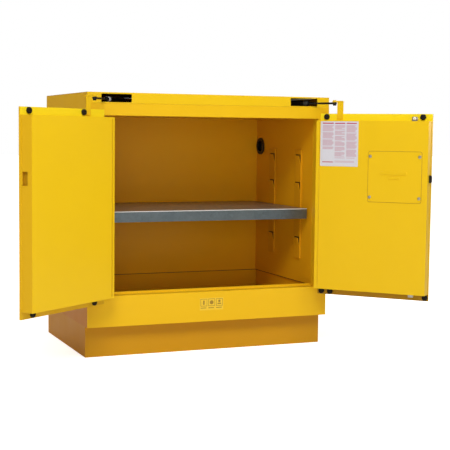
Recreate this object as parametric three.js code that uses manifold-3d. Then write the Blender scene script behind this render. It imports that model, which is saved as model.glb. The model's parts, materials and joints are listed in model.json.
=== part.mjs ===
// Flammable storage cabinet: a low double-walled steel cabinet on a recessed plinth, with two
// self-closing doors that stand open, a sump, one adjustable shelf and two vents.
// Units are millimetres. +Z is up, +Y is towards the back and +X is to the right of a person
// who faces the doors. The origin is on the floor, midway between the sides, front and back.
import * as THREE from "three";
import { mergeVertices } from "three/addons/utils/BufferGeometryUtils.js";
import Module from "manifold-3d";

const wasm = await Module();
wasm.setup();

// ---------------------------------------------------------------- driving dimensions
const WIDTH = 890;
const DEPTH = 560;
const HEIGHT = 890;
const SHEET = 1.2;
const GAP = 0.3;
const LAP = 1; // how far two joined solids run into each other

const BASE_HEIGHT = 108;
const BASE_SIDE_INSET = 5;
const BASE_FRONT_RECESS = 43.5;
const BASE_SHEET = 2;
const BASE_FLANGE = 25;

const JAMB_WIDTH = 41.5;
const FRAME_RETURN = 40;
const OPENING_TOP = 814;
const HEADER_TOP = 855;
const LEDGE_TOP = 212;
const SILL_LIP_TOP = 219;
const SILL_NOSE_DEPTH = 10;
const SILL_DROP = 29;
const SILL_BOTTOM_RETURN = 30;

const BACK_AIR_SPACE = 28;
const SUMP_FLOOR = 147;
const SUMP_RIM = 222;
const SUMP_LAP = 8;
const SUMP_SETBACK = 4;

const SLOT_OUTBOARD = 47.5;
const SLOT_INBOARD = 152;
const SLOT_BOTTOM = 857.5;
const SLOT_TOP = 885;

const SHELF_TOP = 490;
const SHELF_HALF_WIDTH = 394.5;
const SHELF_FRONT = 62;
const SHELF_BACK_GAP = 6;
const SHELF_LIP = 37;
const SHELF_END_FLANGE = 12;
const SHELF_HEM = 12;

const STANDARD_WIDTH = 50;
const STANDARD_SHEET = 1.5;
const STANDARD_DEPTH = 5;
const STANDARD_BOTTOM = 300;
const STANDARD_TOP = 702;
const STANDARD_FRONTS = { front: 126, rear: 351 };
const TAB_PITCH = 101.2;
const TAB_TOP_LEVEL = 680;
const TAB_COUNT = 4;
const TAB_LENGTH = 38;
const TAB_HEIGHT = 28;
const TAB_REACH = 6.5;
const WINDOW_MARGIN = 4;

const STRIKE_SLOT = { halfWidth: 13, behindRod: 6 };
const VENT_DEPTH = 492;
const VENTS = { right: 710, left: 300 };
const VENT_TUBE = 29.5;
const VENT_BORE = 25;
const VENT_COLLAR = 33;
const VENT_OUTER_FLANGE = { radius: 36, thickness: 4 };
const VENT_STUB_LENGTH = 7;
const ARRESTER = { hole: 3.2, pitch: 9, rows: 5, rim: 5, plateFrom: 6, plateTo: 9, length: 12 };
const BUNG = { head: 8, plug: 18, squareRadius: 13, squareLength: 6, wall: 3 };
const GROUND = { y: 236, z: 134, hole: 4.5, shank: 4, length: 14 };
const GROUND_WASHER = { radius: 9, thickness: 1.5 };
const GROUND_HEAD = { radius: 8, end: 7 };

// A door's own frame: a runs from the hinge axis to the free edge, b from the outer face
// inwards, and z up. The hinge axis is at a = 0, b = 0.
const HINGE_INBOARD = 40;
const HINGE_FORWARD = 22;
const LEFT_OPEN = 144.5;
const RIGHT_OPEN = 132.5;
const MEETING_GAP = 3;
const DOOR_FREE_EDGE = (WIDTH - MEETING_GAP) / 2 - HINGE_INBOARD;
const SKIN_FACE = 8;
const FLANGE_FACE = 14;
const SKIN_BOTTOM = 192;
const SKIN_TOP = 832;
const SKIN_EDGE_RETURN = 18;
const SKIN_HINGE_EDGE = 0.5;
const PAN_FACE = 58;
const PAN_BOTTOM = 216;
const PAN_TOP = 807;

const HINGE_LEVELS = { upper: 728, lower: 300 };
const HINGE_HEIGHT = 84;
const KNUCKLE_RADIUS = 6.5;
const HINGE_PIN_RADIUS = 3;
const HINGE_LEAF = 3;
const HINGE_PLATE = { from: 8, to: 37 };
const HINGE_STRAP = { from: 9, to: 62 };
const HINGE_PIN_END = 2;

const BUMPER_RADIUS = 10;
const BUMPER_DIMPLE = { radius: 4, slope: 0.6, depth: 2 };
const BUMPER_ROUND = { side: 2.5, corner: 0.8, rim: 2.8 };
const BUMPER_TOP_LEVEL = 821;
const BUMPER_BOTTOM_LEVEL = 204;
const LEFT_BUMPERS = { top: [109, 367], bottom: [54, 353] };
const RIGHT_BUMPERS = { top: [25, 371], bottom: [16, 48, 392] };

const CLOSER_LEVEL = 868;
const CLOSER_PIN = { a: 52, b: 14 };
const POST_START = { left: 75, right: 63 };
const POST_WIDTH = 22;
const POST_FOOT = 20;
const BRACKET_ARM = { beyond: 8, outward: 8, inward: 4, sheet: 3 };
const CLOSER_PIVOT = { inboard: 165, behind: 135 };
const ROD_END = { pin: 4, eye: 7.5, half: 3.5, nut: 6, nutHeight: 4.5 };
const MOUNT_PIN = 4;
const MOUNT_FOOT = { halfWidth: 30, front: 25, back: 35 };
const MOUNT_HEAD = { half: 18, reach: 14, below: 11 };
const ROD_RADIUS = 3.5;
const ROD_LENGTH = 132;
const CYLINDER_RADIUS = 10;
const CYLINDER_LENGTH = 151;
const GLAND_LENGTH = 24;
const GLAND_RADIUS = 8.5;
const ROD_CLEARANCE = 0.5;
const LUG = { radius: 8, halfThickness: 6, neckHalfWidth: 5, neck: 14 };

const HANDLE = { a: 348, low: 548, high: 662, halfWidth: 42 };
const DISH = { flange: 2.5, inset: 6, wall: 2, depth: 19, floor: 17, shelf: 30, topWall: 8 };
const LOCK = { above: 18, bore: 9, radius: 8.6, front: 3.4, back: 24 };
const KEYWAY = { halfWidth: 1, depth: 9, halfHeight: 4.5 };
const CAM = { a: 348, z: 598, pinReach: 14, radius: 23 };
const CAM_LAYER = [21, 24];
const SPINDLE = { radius: 4.5, from: 17, bore: 4.8 };
const CAM_PIN_RADIUS = 3;
const PIN_SLOT = { half: 3.6, play: 2 };
const ROD_LAYER = [26, 30];
const ROD_FOOT = { half: 9, height: 8, neckHalf: 6, bend: [40, 56], overlap: 2 };
const ROD_TIP = { half: 9, length: 45, thickness: 8, top: 15, bottom: 12 };
const BOLT_LAYER = [33, 38];
const BOLT = { stemHalf: 8, half: 13, length: 34, lap: 20, nose: 8, chamfer: 3, slant: 4 };
const BOLT_WINDOW = { half: 15, depth: 8 };
const STRIKE = { b: [20.5, 41], low: 597, high: 639, depth: 9, wall: 2.2, flange: 12 };
const PADDLE_AXIS = { b: 11, z: 650 };

const PLATE = { a0: 194, a1: 381, z0: 530, z1: 703, corner: 7, hole: 2.6 };
const PLATE_SCREWS = { fromEdge: 6.5, fromTop: 17, fromBottom: 16 };
const SCREW = { radius: 5.6, shoulder: 1, crown: 4.4, high: 2.5, top: 3.1, shank: 2.2, length: 9 };
const SCREW_SLOT = { halfWidth: 0.5, halfLength: 3.8, floor: 1.2 };
const ACCESS_HOLE = { fromHinge: 24, fromFree: 10, fromEnds: 34 };
const BOLT_WAY = { side: 10, around: 4 };
const PAN_FACE_CUT = [PAN_FACE - 8, PAN_FACE + 7];
const LABEL = { a0: 18, a1: 156, z0: 649, z1: 805 };
const SILL_LABEL = { halfWidth: 44, z0: 147, z1: 190 };

// ---------------------------------------------------------------- derived places
const ARM_LOW = CLOSER_LEVEL + ROD_RADIUS + GAP;
const ARM_TOP = ARM_LOW + BRACKET_ARM.sheet;
const FRONT_CLEARANCE = HINGE_FORWARD - GAP;
const FRONT = -DEPTH / 2;
const BACK = DEPTH / 2;
const SIDE = WIDTH / 2;
const INNER_SIDE = SIDE - JAMB_WIDTH;
const INNER_BACK = BACK - BACK_AIR_SPACE;
const RETURN_END = FRONT + FRAME_RETURN;
const BOLT_STEM = CAM.a - 2;

// ---------------------------------------------------------------- materials
function material(color, roughness, metalness) {
  return new THREE.MeshStandardMaterial({ color, roughness, metalness });
}

const paint = material(0xf0c018, 0.35, 0.1);
const galvanised = material(0x8e9aa6, 0.4, 0.9);
const steel = material(0xb8b8b4, 0.3, 1.0);
const blackSteel = material(0x1a1917, 0.45, 0.6);
const rubber = material(0x141312, 0.8, 0.0);
const blackPlastic = material(0x161616, 0.5, 0.0);
const brass = material(0xb8923a, 0.35, 1.0);
const printedSheet = material(0xf2eef2, 0.6, 0.0);

// ---------------------------------------------------------------- solids
// A closed three.js geometry as a solid for joining and cutting.
function solid(geometry) {
  const bare = new THREE.BufferGeometry();
  bare.setAttribute("position", geometry.getAttribute("position").clone());
  bare.setIndex(geometry.index);
  const merged = mergeVertices(bare, 1e-4);
  const source = merged.index.array;
  const triangles = [];
  for (let i = 0; i < source.length; i += 3) {
    const [p, q, r] = source.slice(i, i + 3);
    if (p !== q && q !== r && r !== p) triangles.push(p, q, r);
  }
  const build = (list) =>
    new wasm.Manifold(
      new wasm.Mesh({
        numProp: 3,
        vertProperties: merged.attributes.position.array,
        triVerts: new Uint32Array(list),
      }),
    );
  const made = build(triangles);
  return made.volume() < 0 ? build(triangles.reverse()) : made;
}

function join(...solids) {
  return solids.flat().reduce((whole, piece) => whole.add(piece));
}

function cut(whole, ...pieces) {
  return pieces.flat().reduce((rest, piece) => rest.subtract(piece), whole);
}

function block(x, y, z) {
  const [x0, x1] = x[0] < x[1] ? x : [x[1], x[0]];
  const geometry = new THREE.BoxGeometry(x1 - x0, y[1] - y[0], z[1] - z[0]);
  geometry.translate((x0 + x1) / 2, (y[0] + y[1]) / 2, (z[0] + z[1]) / 2);
  return solid(geometry);
}

const AXES = {
  x: (geometry) => geometry.rotateZ(-Math.PI / 2),
  y: (geometry) => geometry,
  z: (geometry) => geometry.rotateX(Math.PI / 2),
};

// A round bar along an axis, from one end coordinate to the other, about a centre line.
function bar(axis, radius, ends, centre, sides = 24) {
  const geometry = new THREE.CylinderGeometry(radius, radius, ends[1] - ends[0], sides);
  AXES[axis](geometry);
  const place = { ...centre, [axis]: (ends[0] + ends[1]) / 2 };
  geometry.translate(place.x, place.y, place.z);
  return solid(geometry);
}

// A turned solid about the local y axis through (x, z), from [radius, y] points.
function turned(points, x, z, sides = 28) {
  const profile = points.map(([radius, y]) => new THREE.Vector2(radius, y));
  const geometry = new THREE.LatheGeometry(profile, sides);
  geometry.translate(x, 0, z);
  return solid(geometry);
}

// An outline of [x, z] points made into a plate between two y coordinates.
function plate(outline, y) {
  const shape = new THREE.Shape(outline.map(([px, pz]) => new THREE.Vector2(px, pz)));
  const geometry = new THREE.ExtrudeGeometry(shape, {
    depth: y[1] - y[0],
    bevelEnabled: false,
  });
  geometry.rotateX(Math.PI / 2);
  geometry.translate(0, y[1], 0);
  return solid(geometry);
}

// An outline of [y, z] points made into a section that runs between two x coordinates.
function section(outline, x) {
  const shape = new THREE.Shape(outline.map(([py, pz]) => new THREE.Vector2(py, pz)));
  const geometry = new THREE.ExtrudeGeometry(shape, {
    depth: x[1] - x[0],
    bevelEnabled: false,
  });
  const basis = new THREE.Matrix4().makeBasis(
    new THREE.Vector3(0, 1, 0),
    new THREE.Vector3(0, 0, 1),
    new THREE.Vector3(1, 0, 0),
  );
  geometry.applyMatrix4(basis);
  geometry.translate(x[0], 0, 0);
  return solid(geometry);
}

function named(name, finish, shape) {
  const data = shape.getMesh();
  const geometry = new THREE.BufferGeometry();
  geometry.setAttribute("position", new THREE.BufferAttribute(data.vertProperties, 3));
  geometry.setIndex(new THREE.BufferAttribute(data.triVerts, 1));
  geometry.computeVertexNormals();
  const mesh = new THREE.Mesh(geometry, finish.clone());
  mesh.name = name;
  return mesh;
}

// ---------------------------------------------------------------- casing
function basePlinth() {
  const x = SIDE - BASE_SIDE_INSET;
  const y0 = FRONT + BASE_FRONT_RECESS;
  const y1 = BACK - GAP;
  const top = BASE_HEIGHT - GAP;
  const inner = BASE_SHEET;
  const lip = BASE_FLANGE;
  const hollow = block(
    [-x + inner, x - inner],
    [y0 + inner, y1 - inner],
    [BASE_SHEET, top - BASE_SHEET],
  );
  const mouth = block([-x + lip, x - lip], [y0 + lip, y1 - lip], [BASE_HEIGHT / 2, HEIGHT]);
  return cut(block([-x, x], [y0, y1], [0, top]), hollow, mouth);
}

function bottomPanel() {
  const x = SIDE - SHEET - GAP;
  const y0 = FRONT + SILL_BOTTOM_RETURN + GAP;
  return block([-x, x], [y0, BACK - SHEET - GAP], [BASE_HEIGHT, BASE_HEIGHT + SHEET]);
}

function ventHole(side) {
  return ventBar(side, VENT_TUBE + GAP, [INNER_SIDE - FRAME_RETURN, SIDE + FRAME_RETURN]);
}

function outerWrap() {
  const z = [BASE_HEIGHT, HEIGHT - SHEET - GAP];
  const y0 = FRONT + SHEET + GAP;
  const whole = block([-SIDE, SIDE], [y0, BACK], z);
  const room = block([-SIDE + SHEET, SIDE - SHEET], [y0 - SHEET, BACK - SHEET], [0, HEIGHT]);
  const screwHole = bar("x", GROUND.hole, [-SIDE - SHEET, -SIDE + SHEET * 2], GROUND);
  const vents = ["left", "right"].map(ventHole);
  const fasciaNotch = block(
    [-SIDE - SHEET, SIDE + SHEET],
    [FRONT, FRONT + SHEET * 2 + GAP],
    [HEADER_TOP, HEIGHT],
  );
  return cut(whole, room, screwHole, vents, fasciaNotch);
}

function topCover() {
  const sheet = block([-SIDE, SIDE], [FRONT + SHEET, BACK], [HEIGHT - SHEET, HEIGHT]);
  const strip = block(
    [-SIDE, SIDE],
    [FRONT + SHEET, FRONT + SHEET * 2],
    [HEADER_TOP + GAP, HEIGHT],
  );
  const slots = [-1, 1].map((sign) =>
    block(
      [sign * (SIDE - SLOT_OUTBOARD), sign * (SIDE - SLOT_INBOARD)],
      [FRONT - SHEET, FRONT + SHEET * 4],
      [SLOT_BOTTOM, SLOT_TOP],
    ),
  );
  return cut(join(sheet, strip), slots);
}

// Jambs and header as one welded frame, each folded back into the opening.
function frontFrame() {
  const floor = LEDGE_TOP + GAP;
  const face = block([-SIDE, SIDE], [FRONT, FRONT + SHEET], [floor, HEADER_TOP]);
  const sleeve = block(
    [-INNER_SIDE - SHEET, INNER_SIDE + SHEET],
    [FRONT, RETURN_END],
    [floor, OPENING_TOP + SHEET],
  );
  const mouth = block(
    [-INNER_SIDE, INNER_SIDE],
    [FRONT - SHEET, RETURN_END + SHEET],
    [0, OPENING_TOP],
  );
  return cut(join(face, sleeve), mouth, strikeSlot(OPENING_TOP));
}

// The slot that a vertical bolt of the right door enters.
function strikeSlot(level) {
  const x = SIDE - HINGE_INBOARD - BOLT_STEM;
  return block(
    [x - STRIKE_SLOT.halfWidth, x + STRIKE_SLOT.halfWidth],
    [FRONT + SHEET + GAP, FRONT - HINGE_FORWARD + ROD_LAYER[1] + STRIKE_SLOT.behindRod],
    [level - SHEET * 2, level + SHEET * 2],
  );
}

function sillPanel() {
  const face = section(
    [
      [FRONT, BASE_HEIGHT],
      [FRONT + SILL_BOTTOM_RETURN, BASE_HEIGHT],
      [FRONT + SILL_BOTTOM_RETURN, BASE_HEIGHT + SHEET],
      [FRONT + SHEET, BASE_HEIGHT + SHEET],
      [FRONT + SHEET, LEDGE_TOP - SHEET],
      [RETURN_END + SHEET, LEDGE_TOP - SHEET],
      [RETURN_END + SHEET, LEDGE_TOP],
      [FRONT, LEDGE_TOP],
    ],
    [-SIDE, SIDE],
  );
  const noseEnd = RETURN_END + SILL_NOSE_DEPTH;
  const lip = section(
    [
      [RETURN_END, LEDGE_TOP - SHEET],
      [RETURN_END + SHEET, LEDGE_TOP - SHEET],
      [RETURN_END + SHEET, SILL_LIP_TOP - SHEET],
      [noseEnd - SHEET, SILL_LIP_TOP - SHEET],
      [noseEnd - SHEET, SILL_LIP_TOP - SILL_DROP],
      [noseEnd, SILL_LIP_TOP - SILL_DROP],
      [noseEnd, SILL_LIP_TOP],
      [RETURN_END, SILL_LIP_TOP],
    ],
    [-INNER_SIDE + GAP, INNER_SIDE - GAP],
  );
  const sideRelief = [-1, 1].map((sign) =>
    block(
      [sign * (SIDE - SHEET - GAP), sign * (SIDE + SHEET)],
      [FRONT + SHEET, RETURN_END + SHEET * 2],
      [0, HEIGHT],
    ),
  );
  return cut(join(face, lip), sideRelief, strikeSlot(LEDGE_TOP));
}

function innerLiner() {
  const y0 = RETURN_END + SHEET + GAP;
  const x = INNER_SIDE;
  const whole = block([-x - SHEET, x + SHEET], [y0, INNER_BACK + SHEET], [
    SUMP_RIM - SUMP_LAP,
    OPENING_TOP + SHEET * 2,
  ]);
  const room = block([-x, x], [y0 - SHEET, INNER_BACK], [0, OPENING_TOP + SHEET]);
  const vents = ["left", "right"].map(ventHole);
  return cut(whole, room, vents);
}

// A deep tray whose side and back walls stand a little outside the liner's lower edge.
function sumpPan() {
  const x = INNER_SIDE + SUMP_SETBACK;
  const y0 = RETURN_END + SILL_NOSE_DEPTH + GAP;
  const y1 = INNER_BACK + SUMP_SETBACK;
  const whole = block([-x - SHEET, x + SHEET], [y0, y1 + SHEET], [SUMP_FLOOR, SUMP_RIM]);
  const room = block([-x, x], [y0 + SHEET, y1], [SUMP_FLOOR + SHEET, HEIGHT]);
  const frontRelief = block(
    [-x - SHEET * 2, x + SHEET * 2],
    [y0 - SHEET, y0 + SHEET * 2],
    [SUMP_RIM - SUMP_LAP - GAP, HEIGHT],
  );
  return cut(whole, room, frontRelief);
}

// ---------------------------------------------------------------- shelf and its standards
function tabTop(index) {
  return TAB_TOP_LEVEL - index * TAB_PITCH;
}

// A shallow channel with lanced tabs that lean inwards from its face. sign is the cabinet's side.
function shelfStandard(sign, frontDistance) {
  const wall = sign * (INNER_SIDE - GAP);
  const face = wall - sign * STANDARD_DEPTH;
  const skin = face + sign * STANDARD_SHEET;
  const y = [FRONT + frontDistance, FRONT + frontDistance + STANDARD_WIDTH];
  const z = [STANDARD_BOTTOM, STANDARD_TOP];
  const inside = [y[0] + STANDARD_SHEET, y[1] - STANDARD_SHEET];
  const hollow = block([skin, wall + sign], inside, [0, HEIGHT]);
  const middle = (y[0] + y[1]) / 2;
  const tabY = [middle - TAB_LENGTH / 2, middle + TAB_LENGTH / 2];
  const windowY = [tabY[0] - WINDOW_MARGIN, tabY[1] + WINDOW_MARGIN];
  let channel = cut(block([face, wall], y, z), hollow);
  for (let index = 0; index < TAB_COUNT; index += 1) {
    const top = tabTop(index);
    const root = top - TAB_HEIGHT;
    const window = block([skin + sign, face - sign], windowY, [
      root + STANDARD_SHEET,
      top + WINDOW_MARGIN,
    ]);
    const tip = face - sign * TAB_REACH;
    const tab = plate(
      [
        [face, root],
        [tip, top - STANDARD_SHEET],
        [tip, top],
        [tip + sign * STANDARD_SHEET * 2, top],
        [skin, root + STANDARD_SHEET * 2],
        [skin, root],
      ],
      tabY,
    );
    channel = join(cut(channel, window), tab);
  }
  return channel;
}

function shelf() {
  const x = SHELF_HALF_WIDTH;
  const y0 = FRONT + SHELF_FRONT;
  const y1 = INNER_BACK - SHELF_BACK_GAP;
  const z0 = SHELF_TOP - SHELF_LIP;
  const whole = block([-x, x], [y0, y1], [z0, SHELF_TOP]);
  const trough = block(
    [-x - SHEET, x + SHEET],
    [y0 + SHEET, y1 - SHEET],
    [z0 + SHEET, SHELF_TOP - SHEET],
  );
  const mouth = block(
    [-x - SHEET, x + SHEET],
    [y0 + SHELF_HEM, y1 - SHELF_HEM],
    [z0 - SHEET, z0 + SHEET * 2],
  );
  const ends = [-1, 1].map((sign) =>
    block(
      [sign * (x - SHEET), sign * x],
      [y0 + SHELF_HEM, y1 - SHELF_HEM],
      [SHELF_TOP - SHELF_END_FLANGE, SHELF_TOP],
    ),
  );
  return join(cut(whole, trough, mouth), ends);
}

// ---------------------------------------------------------------- vents and earth screw
// A vent is built on the right side's outward direction and turned about for the left.
function alongSide(sign, distances) {
  const ends = distances.map((distance) => sign * distance);
  return ends[0] < ends[1] ? ends : [ends[1], ends[0]];
}

function ventBar(side, radius, distances, sides = 36) {
  const sign = side === "right" ? 1 : -1;
  const centre = { y: FRONT + VENT_DEPTH, z: VENTS[side] };
  return bar("x", radius, alongSide(sign, distances), centre, sides);
}

function ventBody(side) {
  const inner = INNER_SIDE + GAP;
  const outer = SIDE + GAP;
  const end = outer + VENT_STUB_LENGTH;
  const { radius, thickness } = VENT_OUTER_FLANGE;
  const tube = ventBar(side, VENT_TUBE, [inner, end]);
  const flange = ventBar(side, radius, [outer, outer + thickness]);
  const bore = ventBar(side, VENT_BORE, [inner - LAP, end + LAP]);
  return cut(join(tube, flange), bore);
}

function ventArrester(side) {
  const { hole, pitch, rows, rim, plateFrom, plateTo, length } = ARRESTER;
  const inner = INNER_SIDE - GAP;
  const start = inner - rim;
  const dishRadius = VENT_BORE - BUNG.wall;
  const collar = ventBar(side, VENT_COLLAR, [start, inner]);
  const spigot = ventBar(side, VENT_BORE - GAP, [start, inner + length]);
  const dish = ventBar(side, dishRadius, [start - LAP, inner + plateFrom]);
  const back = ventBar(side, dishRadius, [inner + plateTo, inner + length + LAP]);
  const sign = side === "right" ? 1 : -1;
  const ends = alongSide(sign, [inner + plateFrom - LAP, inner + plateTo + LAP]);
  const holes = [];
  const half = (rows - 1) / 2;
  for (let row = -half; row <= half; row += 1) {
    const inRow = rows - Math.abs(row);
    for (let column = 0; column < inRow; column += 1) {
      const y = (column - (inRow - 1) / 2) * pitch;
      const z = row * pitch * Math.sin(Math.PI / 3);
      const centre = { y: FRONT + VENT_DEPTH + y, z: VENTS[side] + z };
      holes.push(bar("x", hole, ends, centre, 10));
    }
  }
  return cut(join(collar, spigot), dish, back, holes);
}

function ventBung(side) {
  const start = SIDE + GAP + VENT_STUB_LENGTH + GAP;
  const headEnd = start + BUNG.head;
  const head = ventBar(side, VENT_TUBE - LAP, [start, headEnd], 12);
  const square = ventBar(side, BUNG.squareRadius, [headEnd - LAP, headEnd + BUNG.squareLength], 4);
  const plug = ventBar(side, VENT_BORE - LAP, [start - BUNG.plug, start + LAP]);
  const socket = ventBar(side, VENT_BORE - LAP - BUNG.wall, [
    start - BUNG.plug - LAP,
    start - LAP * 2,
  ]);
  return cut(join(head, square, plug), socket);
}

function groundScrew() {
  const outer = -SIDE - GAP;
  const washer = bar("x", GROUND_WASHER.radius, [outer - GROUND_WASHER.thickness, outer], GROUND);
  const head = bar("x", GROUND_HEAD.radius, [outer - GROUND_HEAD.end, outer - LAP], GROUND, 6);
  const shank = bar("x", GROUND.shank, [outer - LAP, outer + GROUND.length], GROUND, 16);
  return join(washer, head, shank);
}

function sillLabel() {
  const x = SILL_LABEL.halfWidth;
  return block([-x, x], [FRONT - GAP * 2, FRONT - GAP], [SILL_LABEL.z0, SILL_LABEL.z1]);
}

// ---------------------------------------------------------------- hinges
// Leaf, risers, two knuckles and the pin. sign is -1 on the left side and 1 on the right.
function hingeBracket(sign, level) {
  const axis = { x: sign * (SIDE - HINGE_INBOARD), y: FRONT - HINGE_FORWARD };
  const low = level - HINGE_HEIGHT / 2;
  const third = HINGE_HEIGHT / 3;
  const leafFace = FRONT - GAP;
  const across = (inboard) => sign * (SIDE - inboard);
  const { from, to } = HINGE_PLATE;
  const leaf = block([across(from), across(to)], [leafFace - HINGE_LEAF, leafFace], [
    low,
    low + HINGE_HEIGHT,
  ]);
  const ends = [
    [low, low + third - GAP],
    [low + third * 2 + GAP, low + HINGE_HEIGHT],
  ];
  const risers = ends.map((z) =>
    block([across(to - HINGE_LEAF), across(to)], [axis.y, leafFace], z),
  );
  const knuckles = ends.map((z) => bar("z", KNUCKLE_RADIUS, z, axis));
  const pinEnds = [low - HINGE_PIN_END, low + HINGE_HEIGHT + HINGE_PIN_END];
  const pin = bar("z", HINGE_PIN_RADIUS, pinEnds, axis, 16);
  return join(leaf, risers, knuckles, pin);
}

// The half of a hinge that is welded to a door skin, in the door's own frame.
function doorLeaf(side, level) {
  const low = level - HINGE_HEIGHT / 2;
  const third = HINGE_HEIGHT / 3;
  const middle = [low + third + GAP, low + third * 2 - GAP];
  const b = [SKIN_FACE - HINGE_LEAF, SKIN_FACE + SHEET / 2];
  const { from, to } = HINGE_STRAP;
  const strap = block([side * from, side * to], b, [low, low + HINGE_HEIGHT]);
  const bridge = block([0, side * (from + LAP)], b, middle);
  const knuckle = bar("z", KNUCKLE_RADIUS, middle, { x: 0, y: 0 });
  return join(strap, bridge, knuckle);
}

function doorLeafBore(level) {
  const reach = HINGE_HEIGHT / 2;
  return bar("z", HINGE_PIN_RADIUS + GAP, [level - reach, level + reach], { x: 0, y: 0 }, 16);
}

// ---------------------------------------------------------------- doors
// side is 1 for the left door, whose a runs along local +x, and -1 for the right door.
function doorSkin(side, cutouts) {
  const a0 = SKIN_HINGE_EDGE;
  const a1 = DOOR_FREE_EDGE;
  const across = (a) => side * a;
  const slab = block([across(a0), across(a1)], [SKIN_FACE, FLANGE_FACE], [SKIN_BOTTOM, SKIN_TOP]);
  const edges = [
    [a0, a0 + SHEET],
    [a1 - SHEET, a1],
  ].map(([from, to]) =>
    block([across(from), across(to)], [SKIN_FACE, SKIN_EDGE_RETURN], [
      PAN_BOTTOM - GAP,
      PAN_TOP + GAP,
    ]),
  );
  const pocket = block(
    [across(a0 + SHEET), across(a1 - SHEET)],
    [SKIN_FACE + SHEET, SKIN_EDGE_RETURN * 2],
    [PAN_BOTTOM - GAP, PAN_TOP + GAP],
  );
  const leaves = Object.values(HINGE_LEVELS).map((level) => doorLeaf(side, level));
  const bores = Object.values(HINGE_LEVELS).map((level) => doorLeafBore(level));
  return cut(join(cut(join(slab, edges), pocket), leaves), bores, cutouts);
}

function doorPan(side, cutouts) {
  const a0 = SKIN_HINGE_EDGE + SHEET + GAP;
  const a1 = DOOR_FREE_EDGE - SHEET - GAP;
  const across = (a) => side * a;
  const b0 = SKIN_FACE + SHEET + GAP;
  const whole = block([across(a0), across(a1)], [b0, PAN_FACE], [PAN_BOTTOM, PAN_TOP]);
  const room = block([across(a0 + SHEET), across(a1 - SHEET)], [b0 - SHEET, PAN_FACE - SHEET], [
    PAN_BOTTOM + SHEET,
    PAN_TOP - SHEET,
  ]);
  return cut(whole, room, cutouts);
}

// A round rubber stop with a rounded rim and a dimple, standing on the skin's flange.
function bumper(side, a, level) {
  const foot = FLANGE_FACE + GAP;
  const tip = FRONT_CLEARANCE;
  const r = BUMPER_RADIUS;
  return turned(
    [
      [0, foot],
      [r, foot],
      [r, tip - BUMPER_ROUND.side],
      [r - BUMPER_ROUND.corner, tip - BUMPER_ROUND.corner],
      [r - BUMPER_ROUND.rim, tip],
      [BUMPER_DIMPLE.radius, tip],
      [BUMPER_DIMPLE.radius - BUMPER_DIMPLE.slope, tip - BUMPER_DIMPLE.depth],
      [0, tip - BUMPER_DIMPLE.depth],
    ],
    side * a,
    level,
  );
}

// The post on a door's top edge, with an arm that the closer's rod end is bolted under.
function closerBracket(side, postStart) {
  const { a, b } = CLOSER_PIN;
  const postEnd = postStart + POST_WIDTH;
  const across = (from, to) => [side * from, side * to];
  const postB = [FLANGE_FACE + GAP, FLANGE_FACE + GAP + BRACKET_ARM.sheet];
  const post = block(across(postStart, postEnd), postB, [SKIN_TOP - POST_FOOT, ARM_TOP]);
  const armB = [b - BRACKET_ARM.outward, b + BRACKET_ARM.inward];
  const arm = block(across(a - BRACKET_ARM.beyond, postEnd), armB, [ARM_LOW, ARM_TOP]);
  const centre = { x: side * a, y: b };
  const nut = bar("z", ROD_END.nut, [ARM_TOP - LAP, ARM_TOP + ROD_END.nutHeight], centre, 6);
  return join(post, arm, nut);
}

// ---------------------------------------------------------------- closers
// A closer's own frame: x runs from the stud in the door bracket to the pivot in the roof.
function closerRod() {
  const { pin, eye, half, nut, nutHeight } = ROD_END;
  const axis = { x: 0, y: 0 };
  const level = [CLOSER_LEVEL - half, CLOSER_LEVEL + half];
  const ring = bar("z", eye, level, axis);
  const rod = bar("x", ROD_RADIUS, [pin, ROD_LENGTH], { y: 0, z: CLOSER_LEVEL });
  const trim = [
    [level[0] - ROD_RADIUS, level[0]],
    [level[1], level[1] + ROD_RADIUS],
  ].map((z) => block([0, eye + LAP], [-eye, eye], z));
  const stud = bar("z", pin, [level[0] - nutHeight, ARM_LOW - GAP], axis, 20);
  const hexagon = bar("z", nut, [level[0] - nutHeight, level[0] + LAP], axis, 6);
  return join(cut(join(ring, rod), trim), stud, hexagon);
}

function closerCylinder(length) {
  const { radius, halfThickness, neckHalfWidth, neck } = LUG;
  const centre = { y: 0, z: CLOSER_LEVEL };
  const pivot = { x: length, y: 0 };
  const thick = [CLOSER_LEVEL - halfThickness, CLOSER_LEVEL + halfThickness];
  const mouth = length - CYLINDER_LENGTH;
  const tubeEnd = length - neck;
  const gland = bar("x", GLAND_RADIUS, [mouth, mouth + GLAND_LENGTH], centre);
  const tube = bar("x", CYLINDER_RADIUS, [mouth + GLAND_LENGTH, tubeEnd], centre);
  const lug = bar("z", radius, thick, pivot);
  const bridge = block([tubeEnd - LAP, length], [-neckHalfWidth, neckHalfWidth], thick);
  const boreEnd = tubeEnd - ROD_RADIUS;
  const bore = bar("x", ROD_RADIUS + ROD_CLEARANCE, [mouth - LAP, boreEnd], centre);
  const pivotBore = bar("z", MOUNT_PIN + GAP, [HEADER_TOP, HEIGHT], pivot, 20);
  return cut(join(gland, tube, bridge, lug), bore, pivotBore);
}

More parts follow.
